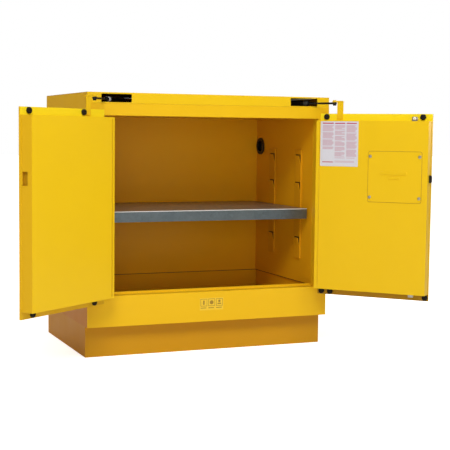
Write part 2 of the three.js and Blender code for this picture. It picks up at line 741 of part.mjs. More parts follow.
// The stand in the roof space that the closer's cylinder pivots on.
function closerMount(sign) {
  const x = sign * (SIDE - CLOSER_PIVOT.inboard);
  const y = FRONT + CLOSER_PIVOT.behind;
  const floor = OPENING_TOP + SHEET * 2 + GAP;
  const { halfWidth, front, back } = MOUNT_FOOT;
  const { half, reach, below } = MOUNT_HEAD;
  const head = CLOSER_LEVEL - below;
  const foot = block([x - halfWidth, x + halfWidth], [y - front, y + back], [
    floor,
    floor + HINGE_LEAF,
  ]);
  const web = block([x - half, x + half], [y + reach - HINGE_LEAF, y + reach], [floor, head]);
  const top = block([x - half, x + half], [y - reach, y + reach], [head - HINGE_LEAF, head]);
  const seat = CLOSER_LEVEL - LUG.halfThickness - GAP;
  const washer = bar("z", MOUNT_PIN + 3, [head - LAP, seat], { x, y }, 20);
  const pinTop = CLOSER_LEVEL + LUG.halfThickness + 2;
  const pin = bar("z", MOUNT_PIN, [head - LAP, pinTop], { x, y }, 20);
  return join(foot, web, top, washer, pin);
}

// ---------------------------------------------------------------- latch of the right door
function latchAcross(a) {
  return -a;
}

// A rod from its cam pin to the door's top (direction 1) or bottom (direction -1). Its foot is
// slotted for the pin, and its neck keeps to the outside of the cam.
function verticalRod(direction) {
  const footA = CAM.a - direction * CAM.pinReach;
  const end = direction > 0 ? PAN_TOP + ROD_TIP.top : PAN_BOTTOM - ROD_TIP.bottom;
  const { half, height, neckHalf, bend, overlap } = ROD_FOOT;
  const z = (distance) => CAM.z + direction * distance;
  const outward = (distance) => footA - direction * distance;
  const inward = (distance) => BOLT_STEM + direction * distance;
  const outline = [
    [outward(half), z(-height)],
    [outward(-half), z(-height)],
    [outward(-half), z(height)],
    [outward(LAP), z(height)],
    [outward(LAP), z(bend[0])],
    [inward(neckHalf), z(bend[1])],
    [inward(neckHalf), end],
    [inward(-neckHalf), end],
    [inward(-neckHalf), z(bend[1] + overlap)],
    [outward(half), z(bend[0] + overlap)],
  ].map(([a, level]) => [latchAcross(a), level]);
  const stem = plate(outline, ROD_LAYER);
  const tipStart = end - direction * ROD_TIP.length;
  const tip = block(
    [latchAcross(BOLT_STEM - ROD_TIP.half), latchAcross(BOLT_STEM + ROD_TIP.half)],
    [ROD_LAYER[0] - LAP, ROD_LAYER[0] - LAP + ROD_TIP.thickness],
    direction > 0 ? [tipStart, end] : [end, tipStart],
  );
  const reach = PIN_SLOT.half + PIN_SLOT.play;
  const slot = block(
    [latchAcross(footA - reach), latchAcross(footA + reach)],
    [ROD_LAYER[0] - LAP, ROD_LAYER[1] + LAP],
    [CAM.z - PIN_SLOT.half, CAM.z + PIN_SLOT.half],
  );
  return cut(join(stem, tip), slot);
}

function sideBolt() {
  const z = CAM.z + CAM.pinReach;
  const { stemHalf, half, length, lap, chamfer, slant } = BOLT;
  const nose = DOOR_FREE_EDGE + BOLT.nose;
  const across = (from, to) => [latchAcross(from), latchAcross(to)];
  const stem = block(across(CAM.a - ROD_FOOT.half, nose - lap), BOLT_LAYER, [
    z - stemHalf,
    z + stemHalf,
  ]);
  const head = plate(
    [
      [nose - length, z - half],
      [nose - chamfer, z - half],
      [nose, z - half + slant],
      [nose, z + half - slant],
      [nose - chamfer, z + half],
      [nose - length, z + half],
    ].map(([a, level]) => [latchAcross(a), level]),
    BOLT_LAYER,
  );
  const slotHeight = PIN_SLOT.half + PIN_SLOT.play;
  const slot = block(
    across(CAM.a - PIN_SLOT.half, CAM.a + PIN_SLOT.half),
    [BOLT_LAYER[0] - LAP, BOLT_LAYER[1] + LAP],
    [z - slotHeight, z + slotHeight],
  );
  return cut(join(stem, head), slot);
}

function latchCam() {
  const centre = { x: latchAcross(CAM.a), z: CAM.z };
  const disc = bar("y", CAM.radius, CAM_LAYER, centre, 32);
  const spindle = bar("y", SPINDLE.radius, [SPINDLE.from, CAM_LAYER[1]], centre, 20);
  const pinAt = (da, dz, reach) => {
    const place = { x: latchAcross(CAM.a + da), z: CAM.z + dz };
    return bar("y", CAM_PIN_RADIUS, [CAM_LAYER[1] - LAP, reach], place, 16);
  };
  const reach = CAM.pinReach;
  const pins = [
    pinAt(-reach, 0, ROD_LAYER[1]),
    pinAt(reach, 0, ROD_LAYER[1]),
    pinAt(0, reach, BOLT_LAYER[1]),
  ];
  return join(disc, spindle, pins);
}

function handleSpan(inset) {
  const reach = HANDLE.halfWidth - inset;
  return [latchAcross(HANDLE.a - reach), latchAcross(HANDLE.a + reach)];
}

// A shallow dish let into the skin, with a flange on the outer face and two pivot ears.
function handleHousing() {
  const { flange, inset, wall, depth, floor, shelf: ledge, topWall } = DISH;
  const faceB = SKIN_FACE - GAP;
  const rim = block(handleSpan(0), [faceB - flange, faceB], [HANDLE.low, HANDLE.high]);
  const dish = block(handleSpan(inset), [faceB - LAP, depth], [
    HANDLE.low + inset,
    HANDLE.high - inset,
  ]);
  const room = block(handleSpan(inset + wall), [0, floor], [
    HANDLE.low + ledge,
    HANDLE.high - topWall,
  ]);
  const centre = { x: latchAcross(CAM.a), z: CAM.z };
  const spindle = bar("y", SPINDLE.bore, [floor - wall, depth + LAP], centre, 20);
  const lockBore = bar("y", LOCK.bore, [0, depth + LAP], lockCentre());
  return cut(join(rim, dish), room, spindle, lockBore);
}

function lockCentre() {
  return { x: latchAcross(HANDLE.a), z: HANDLE.low + LOCK.above };
}

function lockCylinder() {
  const { x, z } = lockCentre();
  const { halfWidth, depth, halfHeight } = KEYWAY;
  const body = bar("y", LOCK.radius, [LOCK.front, LOCK.back], { x, z });
  const keyway = block([x - halfWidth, x + halfWidth], [0, depth], [z - halfHeight, z + halfHeight]);
  return cut(body, keyway);
}

// A flat paddle with a curled pull edge, hung from a pin near the dish's top.
function paddle() {
  const top = PADDLE_AXIS.z + 2.5;
  const low = HANDLE.low + 33;
  const b = PADDLE_AXIS.b;
  const outline = [
    [b - 2.5, top],
    [b - 2.5, low + 13],
    [b - 4.6, low + 5.5],
    [b - 7, low + 2],
    [b - 7.6, low],
    [b - 5, low - 1.5],
    [b - 1, low],
    [b + 1.6, low + 4],
    [b + 0.4, low + 12],
    [b + 0.4, top - 8],
    [b + 2.5, top - 6],
    [b + 2.5, top],
  ];
  const [right, left] = handleSpan(10);
  return section(outline, [left, right]);
}

// A rectangle with rounded corners as a closed list of [x, z] points.
function roundedOutline(x0, x1, z0, z1, radius) {
  const centres = [
    [x1 - radius, z1 - radius, 0],
    [x0 + radius, z1 - radius, 1],
    [x0 + radius, z0 + radius, 2],
    [x1 - radius, z0 + radius, 3],
  ];
  const steps = 6;
  return centres.flatMap(([x, z, quarter]) =>
    Array.from({ length: steps + 1 }, (_, index) => {
      const angle = ((quarter + index / steps) * Math.PI) / 2;
      return [x + radius * Math.cos(angle), z + radius * Math.sin(angle)];
    }),
  );
}

function accessPlate() {
  const b = [PAN_FACE + GAP, PAN_FACE + GAP + SHEET];
  const ends = [latchAcross(PLATE.a1), latchAcross(PLATE.a0)];
  const sheet = plate(roundedOutline(...ends, PLATE.z0, PLATE.z1, PLATE.corner), b);
  return cut(sheet, plateScrewHoles());
}

function plateScrewPlaces() {
  const { fromEdge, fromTop, fromBottom } = PLATE_SCREWS;
  const places = [];
  for (const z of [PLATE.z1 - fromTop, PLATE.z0 + fromBottom]) {
    for (const a of [PLATE.a0 + fromEdge, PLATE.a1 - fromEdge]) {
      places.push({ x: latchAcross(a), z });
    }
  }
  return places;
}

function plateScrewHoles() {
  return plateScrewPlaces().map((place) => bar("y", PLATE.hole, PAN_FACE_CUT, place, 12));
}

function plateScrew(place) {
  const seat = PAN_FACE + SHEET + GAP * 2;
  const { radius, shoulder, crown, high, top, shank, length } = SCREW;
  const profile = [
    [0, seat],
    [radius, seat],
    [radius, seat + shoulder],
    [crown, seat + high],
    [0, seat + top],
  ];
  const head = turned(profile, place.x, place.z, 20);
  const body = bar("y", shank, [seat - length, seat + LAP], place, 12);
  const { halfWidth, halfLength, floor } = SCREW_SLOT;
  const recess = block([place.x - halfWidth, place.x + halfWidth], [seat + floor, seat + top * 2], [
    place.z - halfLength,
    place.z + halfLength,
  ]);
  return cut(join(head, body), recess);
}

function documentLabel() {
  const b = [PAN_FACE + GAP, PAN_FACE + GAP * 2];
  return block([latchAcross(LABEL.a0), latchAcross(LABEL.a1)], b, [LABEL.z0, LABEL.z1]);
}

// The right skin is opened for the handle, and the right pan for bolts, screws and access.
function rightSkinCutouts() {
  const inset = DISH.inset - 0.5;
  const dish = block(handleSpan(inset), [0, SKIN_FACE * 2], [
    HANDLE.low + inset,
    HANDLE.high - inset,
  ]);
  return [dish];
}

function sideBoltOpening() {
  const z = CAM.z + CAM.pinReach;
  const { half, depth } = BOLT_WINDOW;
  return block(
    [latchAcross(DOOR_FREE_EDGE - depth), latchAcross(DOOR_FREE_EDGE + depth)],
    [BOLT_LAYER[0] - LAP, BOLT_LAYER[1] + LAP],
    [z - half, z + half],
  );
}

function rightPanCutouts() {
  const { side, around } = BOLT_WAY;
  const boltWay = block(
    [latchAcross(BOLT_STEM - side), latchAcross(BOLT_STEM + side)],
    [ROD_LAYER[0] - around, ROD_LAYER[1] + around],
    [PAN_BOTTOM - LAP, PAN_TOP + LAP],
  );
  const { fromHinge, fromFree, fromEnds } = ACCESS_HOLE;
  const access = block(
    [latchAcross(PLATE.a0 + fromHinge), latchAcross(PLATE.a1 - fromFree)],
    PAN_FACE_CUT,
    [PLATE.z0 + fromEnds, PLATE.z1 - fromEnds],
  );
  return [boltWay, access, sideBoltOpening(), plateScrewHoles()].flat();
}

// The opening for the side bolt in the left door's free edge.
function strikeOpening() {
  return block(
    [DOOR_FREE_EDGE - SHEET * 2 - GAP - STRIKE.depth, DOOR_FREE_EDGE + SHEET],
    STRIKE.b,
    [STRIKE.low, STRIKE.high],
  );
}

// The painted cup behind that opening.
function strikeCup() {
  const mouth = DOOR_FREE_EDGE - (SHEET + GAP) * 2;
  const { b, low, high, depth, wall, flange } = STRIKE;
  const cup = block([mouth - depth, mouth], [b[0] - wall, b[1] + wall], [
    low - flange,
    high + flange,
  ]);
  const room = block([mouth - depth + SHEET, mouth + SHEET], b, [low, high]);
  return cut(cup, room);
}

// ---------------------------------------------------------------- assembly
const cabinet = new THREE.Group();

cabinet.add(named("base_plinth", paint, basePlinth()));
cabinet.add(named("bottom_panel", paint, bottomPanel()));
cabinet.add(named("outer_wrap", paint, outerWrap()));
cabinet.add(named("top_cover", paint, topCover()));
cabinet.add(named("front_frame", paint, frontFrame()));
cabinet.add(named("sill_panel", paint, sillPanel()));
cabinet.add(named("inner_liner", paint, innerLiner()));
cabinet.add(named("sump_pan", paint, sumpPan()));
cabinet.add(named("shelf", galvanised, shelf()));
cabinet.add(named("ground_screw", brass, groundScrew()));
cabinet.add(named("sill_label", printedSheet, sillLabel()));

for (const [word, sign] of [["left", -1], ["right", 1]]) {
  for (const [place, distance] of Object.entries(STANDARD_FRONTS)) {
    const name = `shelf_standard_${word}_${place}`;
    cabinet.add(named(name, paint, shelfStandard(sign, distance)));
  }
  for (const [place, level] of Object.entries(HINGE_LEVELS)) {
    cabinet.add(named(`hinge_bracket_${word}_${place}`, paint, hingeBracket(sign, level)));
  }
  cabinet.add(named(`vent_body_${word}`, blackSteel, ventBody(word)));
  cabinet.add(named(`vent_arrester_${word}`, blackSteel, ventArrester(word)));
  cabinet.add(named(`vent_bung_${word}`, blackPlastic, ventBung(word)));
  cabinet.add(named(`closer_mount_${word}`, galvanised, closerMount(sign)));
}

// One door in its own frame, hung on its axis and swung open by an angle in degrees.
function hungDoor(side, openAngle) {
  const door = new THREE.Group();
  door.position.set(-side * (SIDE - HINGE_INBOARD), FRONT - HINGE_FORWARD, 0);
  door.rotation.z = -side * THREE.MathUtils.degToRad(openAngle);
  cabinet.add(door);
  return door;
}

function addBumpers(door, word, side, places) {
  const rows = { top: BUMPER_TOP_LEVEL, bottom: BUMPER_BOTTOM_LEVEL };
  for (const [row, level] of Object.entries(rows)) {
    places[row].forEach((a, index) => {
      door.add(named(`${word}_bumper_${row}_${index + 1}`, rubber, bumper(side, a, level)));
    });
  }
}

// The closer lies between the pin on the open door and the pivot in the roof space.
function addCloser(word, side, openAngle) {
  const swing = THREE.MathUtils.degToRad(openAngle);
  const { a, b } = CLOSER_PIN;
  const inboard = HINGE_INBOARD + a * Math.cos(swing) + b * Math.sin(swing);
  const forward = HINGE_FORWARD + a * Math.sin(swing) - b * Math.cos(swing);
  const pin = new THREE.Vector2(-side * (SIDE - inboard), FRONT - forward);
  const pivot = new THREE.Vector2(
    -side * (SIDE - CLOSER_PIVOT.inboard),
    FRONT + CLOSER_PIVOT.behind,
  );
  const reach = pivot.clone().sub(pin);
  const closer = new THREE.Group();
  closer.position.set(pin.x, pin.y, 0);
  closer.rotation.z = reach.angle();
  closer.add(named(`${word}_closer_rod`, blackSteel, closerRod()));
  closer.add(named(`${word}_closer_cylinder`, blackSteel, closerCylinder(reach.length())));
  cabinet.add(closer);
}

const leftDoor = hungDoor(1, LEFT_OPEN);
leftDoor.add(named("left_door_skin", paint, doorSkin(1, [])));
leftDoor.add(named("left_door_pan", paint, doorPan(1, [strikeOpening()])));
leftDoor.add(named("left_strike_cup", paint, strikeCup()));
leftDoor.add(named("left_closer_bracket", paint, closerBracket(1, POST_START.left)));
addBumpers(leftDoor, "left", 1, LEFT_BUMPERS);
addCloser("left", 1, LEFT_OPEN);

const rightDoor = hungDoor(-1, RIGHT_OPEN);
rightDoor.add(named("right_door_skin", paint, doorSkin(-1, rightSkinCutouts())));
rightDoor.add(named("right_door_pan", paint, doorPan(-1, rightPanCutouts())));
rightDoor.add(named("right_closer_bracket", paint, closerBracket(-1, POST_START.right)));
addBumpers(rightDoor, "right", -1, RIGHT_BUMPERS);
addCloser("right", -1, RIGHT_OPEN);
rightDoor.add(named("access_plate", paint, accessPlate()));
plateScrewPlaces().forEach((place, index) => {
  rightDoor.add(named(`access_plate_screw_${index + 1}`, steel, plateScrew(place)));
});
rightDoor.add(named("document_label", printedSheet, documentLabel()));
rightDoor.add(named("handle_housing", blackPlastic, handleHousing()));
rightDoor.add(named("paddle_handle", blackSteel, paddle()));
rightDoor.add(named("lock_cylinder", steel, lockCylinder()));
rightDoor.add(named("latch_cam", steel, latchCam()));
rightDoor.add(named("latch_top_rod", steel, verticalRod(1)));
rightDoor.add(named("latch_bottom_rod", steel, verticalRod(-1)));
rightDoor.add(named("latch_side_bolt", blackSteel, sideBolt()));

export default cabinet;
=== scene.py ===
"""Looks of the flammable storage cabinet: finishes, fine detail, floor, light and camera.

Lengths are metres in the row frame: X to the right, Y to the back, Z up, origin on the floor.
A door has a frame of its own: a runs from the hinge axis to the free edge, b from the outer
face inwards, and z up.
"""

import json
import math

import bmesh
import bpy
from mathutils import Matrix, Vector


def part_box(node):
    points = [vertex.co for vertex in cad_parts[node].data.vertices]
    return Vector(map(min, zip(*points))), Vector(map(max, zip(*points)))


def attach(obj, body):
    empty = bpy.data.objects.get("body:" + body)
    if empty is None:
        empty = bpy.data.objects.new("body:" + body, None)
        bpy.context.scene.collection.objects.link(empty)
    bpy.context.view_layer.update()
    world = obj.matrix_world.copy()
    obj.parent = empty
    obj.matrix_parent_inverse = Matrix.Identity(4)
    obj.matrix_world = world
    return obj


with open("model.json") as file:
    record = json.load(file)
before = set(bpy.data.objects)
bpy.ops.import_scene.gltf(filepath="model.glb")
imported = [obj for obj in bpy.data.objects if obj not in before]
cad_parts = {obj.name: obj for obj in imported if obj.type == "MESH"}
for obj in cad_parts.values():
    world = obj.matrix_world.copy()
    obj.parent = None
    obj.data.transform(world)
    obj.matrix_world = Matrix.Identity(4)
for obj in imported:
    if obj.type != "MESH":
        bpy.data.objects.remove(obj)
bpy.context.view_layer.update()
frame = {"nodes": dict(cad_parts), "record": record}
NODES = frame["nodes"]

MM = 0.001


def mm_pair(low, high):
    """Two lengths in millimetres as metres."""
    return (low * MM, high * MM)


# ------------------------------------------------------------------ colours, linear
# Each shade of the paint is a pair: its usual tone and the deeper one it drifts towards.
YELLOW, YELLOW_DEEP = (0.88, 0.58, 0.010), (0.83, 0.52, 0.008)
# The left door's pan is painted paler than the body's paint: painted light.
LIT_PAN_YELLOW, LIT_PAN_DEEP = (0.93, 0.62, 0.010), (0.88, 0.56, 0.008)
# The pan's crease is painted deeper than the pan: painted shade along the fold.
SHADED_CREASE_YELLOW, SHADED_CREASE_DEEP = (0.70, 0.43, 0.005), (0.66, 0.39, 0.005)
# The front frame and sill take a darker, more orange copy of the paint so that their shaded
# returns read orange: painted shade.
FRAME_YELLOW, FRAME_DEEP = (0.87, 0.535, 0.009), (0.82, 0.48, 0.008)
# The liner, sump and shelf standards take a deeper orange copy of the paint: painted shade
# inside the cabinet, with the orange of light bounced between its yellow walls.
SHADED_INNER_YELLOW, SHADED_INNER_DEEP = (0.86, 0.44, 0.007), (0.81, 0.40, 0.006)
SHADED_STANDARD_YELLOW, SHADED_STANDARD_DEEP = (0.78, 0.38, 0.006), (0.72, 0.34, 0.005)
# The plinth is painted far darker than the body: painted shade under the overhang.
SHADED_PLINTH_YELLOW, SHADED_PLINTH_DEEP = (0.60, 0.30, 0.006), (0.55, 0.26, 0.005)
# Browns of painted shade: the strike cup's pocket, and the strip around the access plate.
CUP_SHADE_BROWN, DEEP_SHADE_BROWN = (0.56, 0.29, 0.006), (0.42, 0.22, 0.006)
# Tones painted on single faces of a piece in place of light and shade: a painted highlight on
# upper door flanges, a painted shadow on lower ones, painted shade on left-facing door edges
# and on the foot of the casing's left side, and painted shadow in hollows.
FLANGE_HIGHLIGHT = (1.0, 0.80, 0.016)
FLANGE_SHADOW = (0.30, 0.14, 0.006)
EDGE_SHADE_YELLOW = (0.78, 0.475, 0.0078)
SIDE_SHADE = (0.58, 0.24, 0.002)
CAVITY_BROWN = (0.10, 0.04, 0.004)
# Metals.
ZINC = (0.62, 0.62, 0.60)
GALVANISED = (0.155, 0.20, 0.225)
GALVANISED_DARK = (0.10, 0.13, 0.15)
GALVANISED_PALE = (0.20, 0.235, 0.255)
# The shelf's rolled edge is painted pale: a painted highlight.
ROLLED_EDGE_HIGHLIGHT = (0.66, 0.70, 0.72)
# The shelf's upward faces are painted paler and warmer: painted light.
LIT_SHELF_TOP = (0.40, 0.36, 0.28)
BRASS = (0.68, 0.47, 0.18)
# Black parts, plastics and print.
BLACK = (0.012, 0.011, 0.010)
RUBBED_STEEL = (0.10, 0.10, 0.10)
RUBBER_BLOOM = (0.022, 0.020, 0.018)
PLASTIC_BLACK, PLASTIC_WORN = (0.016, 0.016, 0.017), (0.03, 0.03, 0.031)
NYLON = (0.90, 0.90, 0.88)
# The two closer glands are one part painted two ways: the left pale, as painted light, and the
# right dark, as painted shade.
LIT_GLAND_GREY = (0.75, 0.75, 0.76)
SHADED_GLAND_DARK = (0.05, 0.05, 0.045)
PAPER = (0.70, 0.72, 0.82)
PINK = (0.60, 0.42, 0.52)
CRIMSON = (0.52, 0.08, 0.14)
LABEL_YELLOW = (0.90, 0.60, 0.03)
INK_BROWN = (0.38, 0.22, 0.015)

# ------------------------------------------------------------------ places on the cabinet
# side is 1 for the left door and -1 for the right one, here and below.
HALF_WIDTH = 0.445
FRONT_FACE = -0.280
HEADER_TOP = 0.855
HINGE_X = 0.405
HINGE_Y = -0.302
DOOR_OPEN = {1: 144.5, -1: 132.5}
UNMIRROR = {1: Matrix.Identity(4), -1: Matrix.Scale(-1.0, 4, (1.0, 0.0, 0.0))}
STANDARDS = [
    "shelf_standard_left_front",
    "shelf_standard_left_rear",
    "shelf_standard_right_front",
    "shelf_standard_right_rear",
]

# Directions that faces look along, in the row frame at rest.
UP = (0.0, 0.0, 1.0)
CASING_LEFT = (-1.0, 0.0, 0.0)
LEFT_INWARD = (0.5807, -0.8141, 0.0)
RIGHT_INWARD = (-0.7373, -0.6756, 0.0)
LEFT_EDGE = (-0.8141, -0.5807, 0.0)

# Levels where painted light and shade start: a painted highlight on flanges above the first, a
# painted shadow on flanges below the second, and painted shade on the casing's left side that
# deepens downwards between the last two.
FLANGE_HEIGHT = 0.807
LOWER_FLANGE_HEIGHT = 0.216
SHADE_HEIGHTS = (0.20, 0.42)

# Closers: the pin on the door (a, b), the cylinder's pivot (x, y), and the height of both.
CLOSER_PIN = (0.052, 0.014)
CLOSER_PIVOT = (0.280, -0.145)
CLOSER_LEVEL = 0.868
CYLINDER_LENGTH = 0.151
GLAND_SINK = 2 * MM
GLAND_PROFILE = (
    (0.0, 8.0), (0.0, 8.9), (0.6, 9.4), (7.0, 9.4), (8.0, 9.0), (9.0, 9.4), (15.0, 9.4),
    (15.6, 8.9), (15.6, 8.0),
)
ARM_START = 44.0
ARM_END = {1: 97.0, -1: 85.0}
ARM_LIP = mm_pair(15.8, 17.9)
ARM_LIP_LEVELS = mm_pair(874.6, 876.8)

# The doors' inner pans, in a, b and z of the door.
PAN_FACE = 58.0
CREASE_ACROSS = (13.0, 17.5)
CREASE_LEVELS = mm_pair(222, 801)
CREASE_DEPTH = mm_pair(PAN_FACE - 0.3, PAN_FACE + 1.2)
# A dark strip around the access plate, painted shadow of its outline: its depths, width and
# levels.
PLATE_OUTLINE_DEPTH = mm_pair(58.02, 58.28)
PLATE_OUTLINE_ACROSS = mm_pair(192.6, 382.4)
PLATE_OUTLINE_LEVELS = mm_pair(528.6, 704.4)
PLATE_PADS = mm_pair(59.5, 61.6)
PLATE_PAD_PLACES = (((237, 331), (624, 635)), ((265, 307), (608.5, 616)))

# The document label: its columns in a, and its rows in z.
PRINT_DEPTH = mm_pair(58.62, 58.72)
LABEL_COLUMNS = ((26, 66), (71, 108), (113, 150))
LABEL_LINES_START = 791
LABEL_LINES_END = 676
LABEL_SHORT_END = 706
LINE_HEIGHT = 2.1
LINE_PITCH = 3.1
LINE_RAG = (0, 1, 3, 0, 6, 2, 1, 12, 0, 2)
PARAGRAPH = (8, 6, 9)
HEADING_LEVELS = mm_pair(796, 800)
FOOT_HEADING_LEVELS = mm_pair(662, 665)
FOOT_LINE_TOPS = (668, 664.5)
FOOT_LINE_HEIGHT = 1.8
FOOT_LINE_RAG = 8

# The sill label's three signs: x of their middles, and the levels of frame and caption.
SIGN_MIDDLES = (-29, 0, 29)
SIGN_HALF = 11.5
SIGN_LEVELS = (162, 186)
SIGN_LINE = 0.8
SIGN_OVERLAP = 0.5
CAPTION_ACROSS = (-12, 9)
CAPTION_LEVELS = mm_pair(154, 156.5)
SIGN_INK = 0.12 * MM
# Each figure: its x, its z and the radius of its corners.
SIGN_FIGURES = (
    ((-32, -26), (166, 182), 2.6),
    ((-7, 7), (167, 181), 6.5),
    ((22, 36), (167, 171), 1.2),
    ((25, 33), (174, 182), 1.2),
)

# The upper bolt's cap: its middle and half widths in a and b, and its level and taper.
CAP_MIDDLE = (346.0, 29.0)
CAP_REACH = (9.8, 4.8)
CAP_PROFILE = ((811.5, 0.8), (812.3, 1.0), (818.0, 1.0), (820.6, 0.9), (822.2, 0.5))
CAP_STEPS = 24

# The dark strip under the liner, a painted shadow along the sump seam: half its width, its
# front and back, and its levels.
SEAM_HALF, SEAM_FRONT, SEAM_BACK = 0.4033, -0.226, 0.2518
SEAM_LEVELS = mm_pair(212.2, 213.8)
SEAM_THICKNESS = 3.2 * MM

# Rolled edges: how far they stop short of the ends, stand behind the face and below the top.
BEAD_RADIUS, BEAD_SHORT, BEAD_BEHIND, BEAD_BELOW = 1.3 * MM, 1.5 * MM, 0.2 * MM, 1.2 * MM
ROLL_RADIUS, ROLL_SHORT, ROLL_BEHIND, ROLL_BELOW = 1.7 * MM, 0.5 * MM, 0.6 * MM, 1.2 * MM

# The dark sheet behind a standard, a painted shadow in its windows: its margin at the rim, and
# its depths from the outer side.
SHADOW_SHEET_MARGIN = 2 * MM
SHADOW_SHEET_DEPTHS = mm_pair(1.0, 0.4)

# The wires in a vent: the screen's radius, and its distance from the arrester's middle.
WIRE_RADIUS = 0.35 * MM
WIRE_PITCH = 3.0 * MM
WIRES_EACH_WAY = 6
SCREEN_RADIUS = 21.0 * MM
SCREEN_OUTWARD = 4.6 * MM

# Sides of round pieces, and points on the rounded corner of a pad.
GLAND_STEPS, ROLL_STEPS, BEAD_STEPS, WIRE_STEPS = 32, 14, 12, 6
CORNER_STEPS = 4

# Edges that fold by more than this are rolled, or split where they can't be.
SHARP_ANGLE = math.radians(35)
# How squarely a face must look along a direction to take that direction's tone.
FACING = 0.6
EDGE_FACING = 0.3


# ------------------------------------------------------------------ material helpers
class Nodes:
    """A material's node tree, with short calls for the nodes that the finishes share."""

    def __init__(self, name):
        self.material = bpy.data.materials.new(name)
        self.material.use_nodes = True
        self.tree = self.material.node_tree
        self.shader = self.tree.nodes["Principled BSDF"]

    def link(self, source, target):
        self.tree.links.new(source, target)

    def make(self, kind, settings=None, **inputs):
        node = self.tree.nodes.new(kind)
        for key, value in (settings or {}).items():
            setattr(node, key, value)
        for key, value in inputs.items():
            self.put(node, key.replace("_", " "), value)
        return node

    def put(self, node, socket, value):
        target = node.inputs[socket]
        if isinstance(value, bpy.types.NodeSocket):
            self.link(value, target)
        elif isinstance(value, tuple) and target.type == "RGBA" and len(value) == 3:
            target.default_value = (*value, 1.0)
        else:
            target.default_value = value

    def coordinates(self):
        return self.make("ShaderNodeTexCoord").outputs["Object"]

    def facing(self, direction):
        """How far a face looks along a direction, in the piece's own frame."""
        normal = self.make("ShaderNodeTexCoord").outputs["Normal"]
        product = self.make("ShaderNodeVectorMath", {"operation": "DOT_PRODUCT"})
        self.link(normal, product.inputs[0])
        product.inputs[1].default_value = direction
        return product.outputs["Value"]

    def noise(self, scale, detail=2.0, roughness=0.5, stretch=None):
        vector = self.coordinates()
        if stretch:
            mapping = self.make("ShaderNodeMapping")
            mapping.inputs["Scale"].default_value = stretch
            self.link(vector, mapping.inputs["Vector"])
            vector = mapping.outputs["Vector"]
        texture = self.make(
            "ShaderNodeTexNoise", Vector=vector, Scale=scale, Detail=detail, Roughness=roughness
        )
        return texture.outputs["Fac"]

    def spread(self, value, low, high, from_low=0.3, from_high=0.7):
        node = self.make("ShaderNodeMapRange", Value=value)
        node.inputs["From Min"].default_value = from_low
        node.inputs["From Max"].default_value = from_high
        node.inputs["To Min"].default_value = low
        node.inputs["To Max"].default_value = high
        return node.outputs["Result"]

    def math(self, operation, first, second=0.0):
        node = self.make("ShaderNodeMath", {"operation": operation})
        for index, value in enumerate((first, second)):
            if isinstance(value, bpy.types.NodeSocket):
                self.link(value, node.inputs[index])
            else:
                node.inputs[index].default_value = value
        return node.outputs["Value"]

    def mix(self, share, first, second):
        node = self.make("ShaderNodeMix", {"data_type": "RGBA"})
        for index, value in ((0, share), (6, first), (7, second)):
            if isinstance(value, bpy.types.NodeSocket):
                self.link(value, node.inputs[index])
            elif isinstance(value, tuple):
                node.inputs[index].default_value = (*value, 1.0)
            else:
                node.inputs[index].default_value = value
        return node.outputs[2]

    def bump(self, height, distance, strength=1.0, normal=None):
        node = self.make("ShaderNodeBump", Strength=strength, Distance=distance, Height=height)
        if normal:
            self.link(normal, node.inputs["Normal"])
        return node.outputs["Normal"]

    def rounded(self, radius):
        return self.make("ShaderNodeBevel", {"samples": 6}, Radius=radius).outputs["Normal"]

    def finish(self, **inputs):
        for key, value in inputs.items():
            self.put(self.shader, key.replace("_", " "), value)
        return self.material


